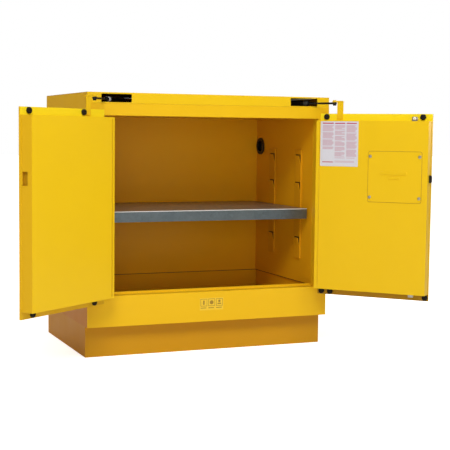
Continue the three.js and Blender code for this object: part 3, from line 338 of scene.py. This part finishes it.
# ------------------------------------------------------------------ materials
def powder_coat(
    name,
    base=YELLOW,
    deep=YELLOW_DEEP,
    flange_normal=None,
    flange_shadow_share=0.0,
    shaded_edge_normal=None,
    low_shade_normal=None,
):
    """Semi-gloss powder coat: orange peel and a slow drift in tone.

    On faces that look along flange_normal, a door's upper flange is paler, a painted highlight.
    Its lower flange is darker, a painted shadow, and dust says by what share. Faces that look
    along shaded_edge_normal are a little deeper in tone, a painted shade. Faces that look along
    low_shade_normal get deeper towards the floor, a painted shade.
    """
    tree = Nodes(name)
    drift = tree.noise(2.3, detail=3.0)
    cloud = tree.noise(9.0, detail=2.0)
    colour = tree.mix(tree.spread(drift, 0.0, 0.35), base, deep)
    speck = tree.spread(tree.noise(420.0), 0.0, 0.08, 0.62, 0.8)
    colour = tree.mix(speck, colour, deep)
    # Painted highlight on the upper flange, and painted shadow on the lower flange.
    if flange_normal:
        place = tree.make("ShaderNodeSeparateXYZ", Vector=tree.coordinates())
        high = tree.math("GREATER_THAN", place.outputs["Z"], FLANGE_HEIGHT)
        facing = tree.math("GREATER_THAN", tree.facing(flange_normal), FACING)
        colour = tree.mix(tree.math("MULTIPLY", high, facing), colour, FLANGE_HIGHLIGHT)
        low = tree.math("LESS_THAN", place.outputs["Z"], LOWER_FLANGE_HEIGHT)
        share = tree.math("MULTIPLY", tree.math("MULTIPLY", low, facing), flange_shadow_share)
        colour = tree.mix(share, colour, FLANGE_SHADOW)
    # Painted shade on faces that look along shaded_edge_normal.
    if shaded_edge_normal:
        edge = tree.math("GREATER_THAN", tree.facing(shaded_edge_normal), EDGE_FACING)
        colour = tree.mix(edge, colour, EDGE_SHADE_YELLOW)
    # Painted shade that deepens towards the floor on faces that look along low_shade_normal.
    if low_shade_normal:
        place = tree.make("ShaderNodeSeparateXYZ", Vector=tree.coordinates())
        low = tree.spread(place.outputs["Z"], 1.0, 0.0, *SHADE_HEIGHTS)
        side = tree.math("GREATER_THAN", tree.facing(low_shade_normal), FACING)
        colour = tree.mix(tree.math("MULTIPLY", low, side), colour, SIDE_SHADE)
    peel = tree.bump(tree.noise(520.0, detail=1.5), 0.00006, 0.35, tree.rounded(0.0008))
    wave = tree.bump(tree.noise(7.0, detail=1.0), 0.0012, 0.25, peel)
    gloss = tree.spread(cloud, 0.30, 0.38)
    return tree.finish(
        Base_Color=colour,
        Roughness=gloss,
        Normal=wave,
        Specular_IOR_Level=0.22,
    )


def darker(colour, share):
    """A colour with each part scaled down to a share of itself."""
    return tuple(share * part for part in colour)


def galvanised_sheet():
    """Hot-dip zinc: flat crystal patches of differing brightness and gloss, with painted light
    on upward faces.
    """
    tree = Nodes("galvanised_sheet")
    crystals = tree.make(
        "ShaderNodeTexVoronoi", {"feature": "F1"}, Vector=tree.coordinates(), Scale=95.0
    )
    patch = tree.make("ShaderNodeSeparateColor", Color=crystals.outputs["Color"])
    shade = tree.spread(patch.outputs["Red"], 0.0, 1.0, 0.0, 1.0)
    haze = tree.noise(14.0, detail=4.0)
    colour = tree.mix(tree.spread(shade, 0.0, 0.55, 0.0, 1.0), GALVANISED, GALVANISED_DARK)
    colour = tree.mix(tree.spread(haze, 0.0, 0.4), colour, GALVANISED_PALE)
    # Painted light: upward faces are paler and warmer.
    upper = tree.math("GREATER_THAN", tree.facing(UP), FACING)
    colour = tree.mix(tree.math("MULTIPLY", upper, 0.75), colour, LIT_SHELF_TOP)
    gloss = tree.spread(patch.outputs["Green"], 0.38, 0.52, 0.0, 1.0)
    rolling = tree.noise(300.0, stretch=(1.0, 6.0, 6.0))
    grain = tree.bump(rolling, 0.00004, 0.4, tree.rounded(0.0009))
    return tree.finish(Base_Color=colour, Metallic=0.85, Roughness=gloss, Normal=grain)


def zinc_plate(name="zinc_plate", colour=ZINC):
    """Bright zinc plating over drawn steel, with fine drawing lines and a few dull spots."""
    tree = Nodes(name)
    lines = tree.noise(260.0, detail=3.0, stretch=(1.0, 1.0, 0.12))
    dull = tree.noise(60.0, detail=4.0)
    tone = tree.mix(tree.spread(dull, 0.0, 0.5), colour, darker(colour, 0.6))
    return tree.finish(
        Base_Color=tone,
        Metallic=1.0,
        Roughness=tree.spread(dull, 0.24, 0.42),
        Normal=tree.bump(lines, 0.00003, 0.5, tree.rounded(0.0004)),
    )


def black_oxide():
    """Satin black steel with rubbed edges."""
    tree = Nodes("black_oxide")
    rub = tree.noise(90.0, detail=5.0)
    geometry = tree.make("ShaderNodeNewGeometry")
    edge = tree.spread(geometry.outputs["Pointiness"], 0.0, 0.6, 0.52, 0.62)
    wear = tree.math("MULTIPLY", edge, tree.spread(rub, 0.2, 1.0, 0.4, 0.6))
    colour = tree.mix(wear, BLACK, RUBBED_STEEL)
    return tree.finish(
        Base_Color=colour,
        Metallic=0.5,
        Roughness=tree.spread(rub, 0.34, 0.52),
        Normal=tree.bump(tree.noise(500.0), 0.00004, 0.4, tree.rounded(0.0005)),
    )


def rubber():
    """Matte moulded rubber with a dusty bloom."""
    tree = Nodes("moulded_rubber")
    bloom = tree.noise(140.0, detail=4.0)
    colour = tree.mix(tree.spread(bloom, 0.0, 0.5, 0.5, 0.75), BLACK, RUBBER_BLOOM)
    return tree.finish(
        Base_Color=colour,
        Roughness=tree.spread(bloom, 0.6, 0.8),
        Normal=tree.bump(tree.noise(700.0), 0.00005, 0.5),
        Specular_IOR_Level=0.25,
    )


def textured_plastic():
    """Black injection-moulded plastic with a spark-eroded grain."""
    tree = Nodes("textured_plastic")
    grain = tree.noise(850.0, detail=2.0)
    tone = tree.mix(tree.noise(30.0), PLASTIC_BLACK, PLASTIC_WORN)
    return tree.finish(
        Base_Color=tone,
        Roughness=tree.spread(grain, 0.42, 0.6),
        Normal=tree.bump(grain, 0.00008, 0.5, tree.rounded(0.0006)),
    )


def printed_film(name, colour, gloss=0.42):
    """Satin self-adhesive film or the ink on it, slightly wavy and faintly mottled."""
    tree = Nodes(name)
    mottle = tree.noise(180.0, detail=3.0)
    tone = tree.mix(tree.spread(mottle, 0.0, 0.3), colour, darker(colour, 0.88))
    return tree.finish(
        Base_Color=tone,
        Roughness=tree.spread(mottle, gloss, gloss + 0.1),
        Normal=tree.bump(tree.noise(40.0), 0.0002, 0.3),
    )


MATERIALS = {
    "yellow_paint": powder_coat("yellow_powder_coat"),
    "galvanised_steel": galvanised_sheet(),
    "zinc_steel": zinc_plate(),
    "black_steel": black_oxide(),
    "black_rubber": rubber(),
    "black_plastic": textured_plastic(),
    "brass": zinc_plate("turned_brass", BRASS),
    "printed_sheet": printed_film("document_film", PAPER),
}


# ------------------------------------------------------------------ CAD nodes
EDGE_RADIUS = {
    "yellow_paint": 0.4 * MM,
    "galvanised_steel": 0.4 * MM,
    "black_plastic": 0.8 * MM,
    "zinc_steel": 0.4 * MM,
    "black_steel": 0.5 * MM,
}


def dress_node(node, slot):
    """Gives a CAD node its finish and rolls its sharp edges over."""
    mesh = node.data
    mesh.materials.clear()
    mesh.materials.append(MATERIALS[slot])
    if "custom_normal" in mesh.attributes:
        mesh.attributes.remove(mesh.attributes["custom_normal"])
    mesh.shade_smooth()
    weld = node.modifiers.new("weld", "WELD")
    weld.merge_threshold = 0.01 * MM
    # The top cover's slots lie too near its folds for a bevel.
    if slot in EDGE_RADIUS and node.name != "top_cover":
        roll = node.modifiers.new("roll", "BEVEL")
        roll.width = EDGE_RADIUS[slot]
        roll.segments = 2
        roll.limit_method = "ANGLE"
        roll.angle_limit = SHARP_ANGLE
        roll.use_clamp_overlap = True
        roll.harden_normals = True
    else:
        split = node.modifiers.new("split", "EDGE_SPLIT")
        split.split_angle = SHARP_ANGLE


for subpart in frame["record"]["subparts"]:
    dress_node(NODES[subpart["node"]], subpart["material_slot"])


def repaint(material, *names):
    """Gives CAD nodes a finish of their own in place of their slot's."""
    for name in names:
        NODES[name].data.materials[0] = material


# The strike cup is painted brown: painted shade in its pocket.
repaint(powder_coat("strike_cup_coat", CUP_SHADE_BROWN, DEEP_SHADE_BROWN), "left_strike_cup")
# The doors' coats paint a highlight on their upper flanges and a shadow on their lower ones.
left_coat = powder_coat(
    "left_door_powder_coat", flange_normal=LEFT_INWARD, flange_shadow_share=0.2, shaded_edge_normal=LEFT_EDGE
)
right_coat = powder_coat("right_door_powder_coat", flange_normal=RIGHT_INWARD, flange_shadow_share=0.75)
repaint(left_coat, "left_door_skin")
# The left pan's paler paint is painted light; its left-facing faces take painted shade.
left_pan_coat = powder_coat(
    "left_pan_powder_coat", LIT_PAN_YELLOW, LIT_PAN_DEEP, shaded_edge_normal=LEFT_EDGE
)
repaint(left_pan_coat, "left_door_pan")
# The casing's left side is painted darker towards its foot: painted shade.
repaint(powder_coat("wrap_powder_coat", low_shade_normal=CASING_LEFT), "outer_wrap")
repaint(right_coat, "right_door_skin")
# Painted shade on the recessed plinth.
repaint(powder_coat("plinth_powder_coat", SHADED_PLINTH_YELLOW, SHADED_PLINTH_DEEP), "base_plinth")
# Painted shade inside the cabinet: a deeper orange copy of the paint.
repaint(
    powder_coat("inner_powder_coat", SHADED_INNER_YELLOW, SHADED_INNER_DEEP),
    "inner_liner",
    "sump_pan",
)
# The standards are painted deeper still: painted shade.
repaint(powder_coat("standard_powder_coat", SHADED_STANDARD_YELLOW, SHADED_STANDARD_DEEP), *STANDARDS)
# Painted shade: the frame and sill take a darker, more orange copy of the paint.
repaint(powder_coat("frame_powder_coat", FRAME_YELLOW, FRAME_DEEP), "front_frame", "sill_panel")
repaint(printed_film("sill_label_film", LABEL_YELLOW), "sill_label")


# ------------------------------------------------------------------ added pieces
def add_piece(name, mesh_maker, material, body):
    """Makes one piece from a function that fills a bmesh, and lets it ride on a body."""
    mesh = bpy.data.meshes.new(name)
    builder = bmesh.new()
    mesh_maker(builder)
    bmesh.ops.recalc_face_normals(builder, faces=builder.faces)
    builder.to_mesh(mesh)
    builder.free()
    mesh.materials.append(material)
    piece = bpy.data.objects.new(name, mesh)
    bpy.context.scene.collection.objects.link(piece)
    mesh.shade_smooth()
    split = piece.modifiers.new("split", "EDGE_SPLIT")
    split.split_angle = SHARP_ANGLE
    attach(piece, body)
    return piece


def door_turn(side):
    """From a door's own frame (a, b, z) to the row frame, at rest. side is 1 on the left."""
    swing = math.radians(DOOR_OPEN[side])
    across = Vector((side * math.cos(swing), -math.sin(swing), 0.0))
    inward = Vector((side * math.sin(swing), math.cos(swing), 0.0))
    turn = Matrix((across, inward, Vector((0.0, 0.0, 1.0)))).transposed().to_4x4()
    return Matrix.Translation((-side * HINGE_X, HINGE_Y, 0.0)) @ turn


def loft(builder, rings):
    """Joins rings of equal length by quads, and closes both ends."""
    rows = [[builder.verts.new(point) for point in ring] for ring in rings]
    count = len(rows[0])
    for low, high in zip(rows, rows[1:]):
        for index in range(count):
            after = (index + 1) % count
            builder.faces.new((low[index], low[after], high[after], high[index]))
    builder.faces.new(rows[0])
    builder.faces.new(rows[-1])


def pad(builder, turn, x, z, depth, corner):
    """A flat pad with rounded corners and a chamfered rim, between two depths (b or y)."""
    foot, face = depth
    chamfer = min(0.3 * abs(face - foot), 0.5 * corner)
    shoulder = face - math.copysign(chamfer, face - foot)
    corners = ((x[1], z[1], 0), (x[0], z[1], 1), (x[0], z[0], 2), (x[1], z[0], 3))
    rings = []
    for level, inset in ((foot, 0.0), (shoulder, 0.0), (face, chamfer)):
        ring = []
        for corner_x, corner_z, start in corners:
            centre_x = corner_x - math.copysign(corner, corner_x - sum(x) / 2)
            centre_z = corner_z - math.copysign(corner, corner_z - sum(z) / 2)
            for step in range(CORNER_STEPS + 1):
                angle = (start + step / CORNER_STEPS) * math.pi / 2
                reach = corner - inset
                px = centre_x + reach * math.cos(angle)
                pz = centre_z + reach * math.sin(angle)
                ring.append(turn @ Vector((px, level, pz)))
        rings.append(ring)
    loft(builder, rings)


def turned(builder, start, axis, profile, steps):
    """A surface turned about an axis from (distance along, radius) points."""
    along = axis.normalized()
    beside = along.cross(Vector((0.0, 0.0, 1.0)))
    if beside.length < 0.1:
        beside = Vector((1.0, 0.0, 0.0))
    beside.normalize()
    over = along.cross(beside)
    rings = []
    for distance, radius in profile:
        ring = []
        for step in range(steps):
            angle = step / steps * 2.0 * math.pi
            spoke = beside * math.cos(angle) + over * math.sin(angle)
            ring.append(start + along * distance + spoke * radius)
        rings.append(ring)
    loft(builder, rings)


def label_lines(builder):
    """Rows of plain bars in three columns, in place of small print."""
    turn = door_turn(-1)
    for column, (start, end) in enumerate(LABEL_COLUMNS):
        last = LABEL_SHORT_END if column == 0 else LABEL_LINES_END
        level = LABEL_LINES_START
        row = 0
        while level - LINE_HEIGHT > last:
            if row % PARAGRAPH[column] != PARAGRAPH[column] - 1:
                shorter = LINE_RAG[(row * 2 + column) % len(LINE_RAG)]
                x = mm_pair(start, end - shorter)
                z = mm_pair(level - LINE_HEIGHT, level)
                pad(builder, turn, x, z, PRINT_DEPTH, 0.3 * MM)
            level -= LINE_PITCH
            row += 1
    x = mm_pair(LABEL_COLUMNS[1][0], LABEL_COLUMNS[2][1] - FOOT_LINE_RAG)
    for level in FOOT_LINE_TOPS:
        z = mm_pair(level - FOOT_LINE_HEIGHT, level)
        pad(builder, turn, x, z, PRINT_DEPTH, 0.3 * MM)


def label_headings(builder):
    """A bold bar over each column, and one at the foot of the first."""
    turn = door_turn(-1)
    for column in LABEL_COLUMNS:
        pad(builder, turn, mm_pair(*column), HEADING_LEVELS, PRINT_DEPTH, 0.4 * MM)
    foot = mm_pair(*LABEL_COLUMNS[0])
    pad(builder, turn, foot, FOOT_HEADING_LEVELS, PRINT_DEPTH, 0.4 * MM)


def plate_bars(builder):
    """Two raised pads pressed out of the access plate."""
    for across, levels in PLATE_PAD_PLACES:
        pad(builder, door_turn(-1), mm_pair(*across), mm_pair(*levels), PLATE_PADS, 3 * MM)


def sill_pictograms(builder):
    """Three outlined squares with plain figures, and a row of short bars under them."""
    turn = Matrix.Identity(4)
    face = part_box("sill_label")[0][1]
    depth = (face, face - SIGN_INK)
    corner = 0.4 * MM
    for middle in SIGN_MIDDLES:
        for edge in (middle - SIGN_HALF, middle + SIGN_HALF):
            upright = mm_pair(edge - SIGN_LINE, edge + SIGN_LINE)
            pad(builder, turn, upright, mm_pair(*SIGN_LEVELS), depth, corner)
        reach = SIGN_HALF + SIGN_OVERLAP
        for level in SIGN_LEVELS:
            bar = mm_pair(level - SIGN_LINE, level + SIGN_LINE)
            pad(builder, turn, mm_pair(middle - reach, middle + reach), bar, depth, corner)
        caption = mm_pair(*(middle + end for end in CAPTION_ACROSS))
        pad(builder, turn, caption, CAPTION_LEVELS, depth, 0.5 * MM)
    for across, levels, radius in SIGN_FIGURES:
        pad(builder, turn, mm_pair(*across), mm_pair(*levels), depth, radius * MM)


def header_bead(builder):
    """The rolled upper edge of the header, just in front of the joint with the top cover."""
    left = -HALF_WIDTH + BEAD_SHORT
    start = Vector((left, FRONT_FACE + BEAD_BEHIND, HEADER_TOP - BEAD_BELOW))
    length = 2 * HALF_WIDTH - 2 * BEAD_SHORT
    bead = [(0.0, BEAD_RADIUS), (length, BEAD_RADIUS)]
    turned(builder, start, Vector((1.0, 0.0, 0.0)), bead, BEAD_STEPS)


def closer_line(side):
    """Where a closer's pin and pivot are at rest."""
    pin = door_turn(side) @ Vector((*CLOSER_PIN, CLOSER_LEVEL))
    pivot = Vector((-side * CLOSER_PIVOT[0], CLOSER_PIVOT[1], CLOSER_LEVEL))
    return pin, pivot


def bracket_lip(side):
    """The upright edge folded up along a closer bracket's arm."""
    def make(builder):
        turn = door_turn(side) @ UNMIRROR[side]
        x = mm_pair(side * ARM_START, side * ARM_END[side])
        pad(builder, turn, x, ARM_LIP_LEVELS, ARM_LIP, 1.2 * MM)

    return make


def shelf_edge(builder):
    """The rolled front edge of the shelf, painted pale as a highlight."""
    low, high = (Vector(corner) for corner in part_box("shelf"))
    start = Vector((low.x + ROLL_SHORT, low.y + ROLL_BEHIND, high.z - ROLL_BELOW))
    length = high.x - low.x - 2 * ROLL_SHORT
    roll = [(0.0, ROLL_RADIUS), (length, ROLL_RADIUS)]
    turned(builder, start, Vector((1.0, 0.0, 0.0)), roll, ROLL_STEPS)


def plate_shade_line(builder):
    """A dark strip just proud of the access plate's outline: painted shadow in the gap around
    the plate.
    """
    pad(builder, door_turn(-1), PLATE_OUTLINE_ACROSS, PLATE_OUTLINE_LEVELS, PLATE_OUTLINE_DEPTH, 8 * MM)


def sump_seam(builder):
    """A dark strip under the liner's lower edge, on three sides: a painted shadow along the
    seam.
    """
    low, high = SEAM_LEVELS
    wide, deep = SEAM_HALF + SEAM_THICKNESS, SEAM_BACK + SEAM_THICKNESS
    inner = (
        (-SEAM_HALF, SEAM_FRONT),
        (-SEAM_HALF, SEAM_BACK),
        (SEAM_HALF, SEAM_BACK),
        (SEAM_HALF, SEAM_FRONT),
    )
    outer = ((-wide, SEAM_FRONT), (-wide, deep), (wide, deep), (wide, SEAM_FRONT))
    rings = []
    for near, far in zip(inner, outer):
        outline = ((near, low), (far, low), (far, high), (near, high))
        rings.append([Vector((*point, z)) for point, z in outline])
    for ends in zip(rings, rings[1:]):
        loft(builder, ends)


def standard_shadow_sheet(name):
    """A dark sheet seen through the windows of a shelf standard: a painted shadow."""
    def make(builder):
        low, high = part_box(name)
        outward = math.copysign(1.0, low[0])
        wall = max(abs(low[0]), abs(high[0]))
        front, back = low[1] + SHADOW_SHEET_MARGIN, high[1] - SHADOW_SHEET_MARGIN
        foot, top = low[2] + SHADOW_SHEET_MARGIN, high[2] - SHADOW_SHEET_MARGIN
        corners = ((front, foot), (back, foot), (back, top), (front, top))
        rings = []
        for depth in SHADOW_SHEET_DEPTHS:
            x = outward * (wall - depth)
            rings.append([Vector((x, y, z)) for y, z in corners])
        loft(builder, rings)

    return make


def gland_ring(side):
    """The grooved ring where a closer's rod enters its cylinder."""
    def make(builder):
        pin, pivot = closer_line(side)
        axis = (pivot - pin).normalized()
        mouth = (pivot - pin).length - CYLINDER_LENGTH
        profile = [mm_pair(*point) for point in GLAND_PROFILE]
        turned(builder, pin + axis * (mouth + GLAND_SINK), axis, profile, GLAND_STEPS)

    return make


def bolt_cap(builder):
    """The bright rounded end of the upper bolt."""
    turn = door_turn(-1)
    rings = []
    for level, taper in CAP_PROFILE:
        ring = []
        for step in range(CAP_STEPS):
            angle = step / CAP_STEPS * 2.0 * math.pi
            a = CAP_MIDDLE[0] + CAP_REACH[0] * taper * math.cos(angle)
            b = CAP_MIDDLE[1] + CAP_REACH[1] * taper * math.sin(angle)
            ring.append(turn @ Vector((a * MM, b * MM, level * MM)))
        rings.append(ring)
    loft(builder, rings)


def pan_crease(side):
    """The raised fold that runs down a door's inner pan, near its hinge edge."""
    def make(builder):
        turn = door_turn(side) @ UNMIRROR[side]
        x = mm_pair(*(side * a for a in CREASE_ACROSS))
        pad(builder, turn, x, CREASE_LEVELS, CREASE_DEPTH, 1.3 * MM)

    return make


def vent_screen(word):
    """A screen of crossed wires behind the holes of the left or right flame arrester."""
    def make(builder):
        low, high = (Vector(corner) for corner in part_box("vent_arrester_" + word))
        middle = (low + high) / 2
        x = middle.x + math.copysign(SCREEN_OUTWARD, middle.x)
        for index in range(-WIRES_EACH_WAY, WIRES_EACH_WAY + 1):
            offset = index * WIRE_PITCH
            half = math.sqrt(SCREEN_RADIUS ** 2 - offset ** 2)
            wire = [(0.0, WIRE_RADIUS), (2 * half, WIRE_RADIUS)]
            foot = Vector((x, middle.y + offset, middle.z - half))
            front = Vector((x, middle.y - half, middle.z + offset))
            turned(builder, foot, Vector((0, 0, 1)), wire, WIRE_STEPS)
            turned(builder, front, Vector((0, 1, 0)), wire, WIRE_STEPS)

    return make


yellow = MATERIALS["yellow_paint"]
# The crease's deeper paint is painted shade along the fold.
crease_coat = powder_coat("crease_powder_coat", SHADED_CREASE_YELLOW, SHADED_CREASE_DEEP)
pink_ink = printed_film("pale_print", PINK, 0.5)
crimson_ink = printed_film("heading_print", CRIMSON, 0.5)
brown_ink = printed_film("dark_print", INK_BROWN, 0.5)
# The left gland is painted pale grey as painted light, and the right one dark as painted shade.
gland_finish = {
    "left": printed_film("lit_gland_plastic", LIT_GLAND_GREY, 0.35),
    "right": printed_film("shaded_gland_plastic", SHADED_GLAND_DARK, 0.35),
}
bright_cap = printed_film("white_nylon", NYLON, 0.4)
# A painted highlight along the shelf's rolled edge.
highlight_roll_film = printed_film("rolled_edge_highlight_film", ROLLED_EDGE_HIGHLIGHT, 0.3)
cavity = printed_film("cavity_shadow_paint", CAVITY_BROWN, 0.6)
# Dark brown for the painted shadow around the access plate.
shade_line_paint = printed_film("plate_shade_line", DEEP_SHADE_BROWN, 0.6)

add_piece("document_label_lines", label_lines, pink_ink, "right_door")
add_piece("document_label_headings", label_headings, crimson_ink, "right_door")
add_piece("access_plate_pads", plate_bars, yellow, "right_door")
add_piece("sill_label_figures", sill_pictograms, brown_ink, "cabinet")
add_piece("header_bead", header_bead, yellow, "cabinet")
add_piece("upper_bolt_cap", bolt_cap, bright_cap, "top_rod")
add_piece("shelf_rolled_edge", shelf_edge, highlight_roll_film, "shelf")
add_piece("access_plate_outline_shade", plate_shade_line, shade_line_paint, "right_door")
add_piece("sump_seam_shadow_strip", sump_seam, cavity, "cabinet")
for name in STANDARDS:
    add_piece(name + "_cavity", standard_shadow_sheet(name), cavity, "cabinet")
for word, side in (("left", 1), ("right", -1)):
    door, cylinder = word + "_door", word + "_closer_cylinder"
    gland, screen = gland_finish[word], MATERIALS["zinc_steel"]
    add_piece(word + "_gland_ring", gland_ring(side), gland, cylinder)
    add_piece(word + "_bracket_lip", bracket_lip(side), yellow, door)
    add_piece(word + "_pan_crease", pan_crease(side), crease_coat, door)
    add_piece(word + "_vent_screen", vent_screen(word), screen, "cabinet")


# ------------------------------------------------------------------ stage, light and camera
FLOOR_SIZE = 60
FLOOR_PALE, FLOOR_PALER = (0.93, 0.93, 0.93), (0.95, 0.95, 0.95)
FLOOR_GLOW = (0.75, 1.1)
FLOOR_GLOW_DISTANCE = (0.7, 1.5)
WHITE = (1.0, 1.0, 1.0)
WORLD_LIGHT = 0.17
WORLD_WARMTH = (1.0, 0.84, 0.64, 1.0)


def make_floor():
    """A pale floor that glows for the camera only, and more so away from the cabinet."""
    bpy.ops.mesh.primitive_plane_add(size=FLOOR_SIZE)
    floor = bpy.context.object
    floor.name = "floor"
    tree = Nodes("pale_floor")
    tone = tree.mix(tree.noise(0.8), FLOOR_PALE, FLOOR_PALER)
    tree.finish(Base_Color=tone, Roughness=0.6, Specular_IOR_Level=0.0)
    rays = tree.make("ShaderNodeLightPath")
    place = tree.coordinates()
    distance = tree.make("ShaderNodeVectorMath", {"operation": "LENGTH"}, Vector=place)
    spread = tree.spread(distance.outputs["Value"], *FLOOR_GLOW, *FLOOR_GLOW_DISTANCE)
    glow = tree.math("MULTIPLY", rays.outputs["Is Camera Ray"], spread)
    tree.put(tree.shader, "Emission Color", WHITE)
    tree.put(tree.shader, "Emission Strength", glow)
    floor.data.materials.append(tree.material)


def make_world():
    """A dim warm light all round, which the camera sees as white."""
    world = bpy.data.worlds.new("studio")
    bpy.context.scene.world = world
    world.use_nodes = True
    tree = world.node_tree
    lit = tree.nodes["Background"]
    lit.inputs["Color"].default_value = WORLD_WARMTH
    lit.inputs["Strength"].default_value = WORLD_LIGHT
    seen = tree.nodes.new("ShaderNodeBackground")
    seen.inputs["Color"].default_value = (*WHITE, 1.0)
    rays = tree.nodes.new("ShaderNodeLightPath")
    mix = tree.nodes.new("ShaderNodeMixShader")
    tree.links.new(rays.outputs["Is Camera Ray"], mix.inputs["Fac"])
    tree.links.new(lit.outputs["Background"], mix.inputs[1])
    tree.links.new(seen.outputs["Background"], mix.inputs[2])
    tree.links.new(mix.outputs["Shader"], tree.nodes["World Output"].inputs["Surface"])


def softbox(name, place, target, size, power, colour=WHITE):
    """A rectangular lamp at a place, turned towards a target."""
    light = bpy.data.lights.new(name, "AREA")
    light.shape = "RECTANGLE"
    light.size, light.size_y = size
    light.energy = power
    light.color = colour
    lamp = bpy.data.objects.new(name, light)
    bpy.context.scene.collection.objects.link(lamp)
    lamp.location = place
    lamp.rotation_euler = (Vector(target) - Vector(place)).to_track_quat("-Z", "Y").to_euler()


LEFT_WARMTH = (1.0, 0.55, 0.18)
RIGHT_WARMTH = (1.0, 0.72, 0.40)
BACK_WARMTH = (1.0, 0.84, 0.62)


def make_lights():
    """Three lamps in front, and warm ones at the left, the right and the back."""
    front, left, right = (0.0, -0.2, 0.5), (-0.4, 0.0, 0.5), (0.4, 0.0, 0.5)
    softbox("key_box", (-2.0, -4.2, 4.3), front, (2.6, 2.0), 158)
    softbox("front_box", (1.5, -3.8, 4.0), front, (2.6, 2.0), 64)
    softbox("low_box", (-1.2, -5.5, 1.0), front, (3.0, 1.6), 40)
    softbox("left_box", (-4.5, 1.2, 1.0), left, (2.0, 2.0), 28, LEFT_WARMTH)
    softbox("right_box", (4.8, 1.4, 1.6), right, (2.0, 2.0), 45, RIGHT_WARMTH)
    softbox("back_box", (0.6, 4.8, 2.2), (0.0, 0.3, 0.5), (2.6, 2.0), 75, BACK_WARMTH)


CAMERA_PLACE = Vector((-1.4502, -3.8718, 0.7613))
CAMERA_YAW = math.radians(22.63)
CAMERA_PITCH = math.radians(-4.69)
CAMERA_ROLL = math.radians(0.65)
CAMERA_LENS = 90.08
SENSOR_WIDTH = 36.0


def make_camera():
    """The camera, at the photograph's viewing angle."""
    data = bpy.data.cameras.new("camera")
    data.sensor_width = SENSOR_WIDTH
    data.lens = CAMERA_LENS
    camera = bpy.data.objects.new("camera", data)
    bpy.context.scene.collection.objects.link(camera)
    level = math.cos(CAMERA_PITCH)
    sine, cosine = math.sin(CAMERA_YAW), math.cos(CAMERA_YAW)
    ahead = Vector((sine * level, cosine * level, math.sin(CAMERA_PITCH)))
    across = Vector((cosine, -sine, 0.0))
    above = across.cross(ahead)
    right = across * math.cos(CAMERA_ROLL) + above * math.sin(CAMERA_ROLL)
    up = above * math.cos(CAMERA_ROLL) - across * math.sin(CAMERA_ROLL)
    turn = Matrix((right, up, -ahead)).transposed().to_4x4()
    camera.matrix_world = Matrix.Translation(CAMERA_PLACE) @ turn
    bpy.context.scene.camera = camera


make_floor()
make_world()
make_lights()
make_camera()
bpy.context.scene.view_settings.view_transform = "Standard"
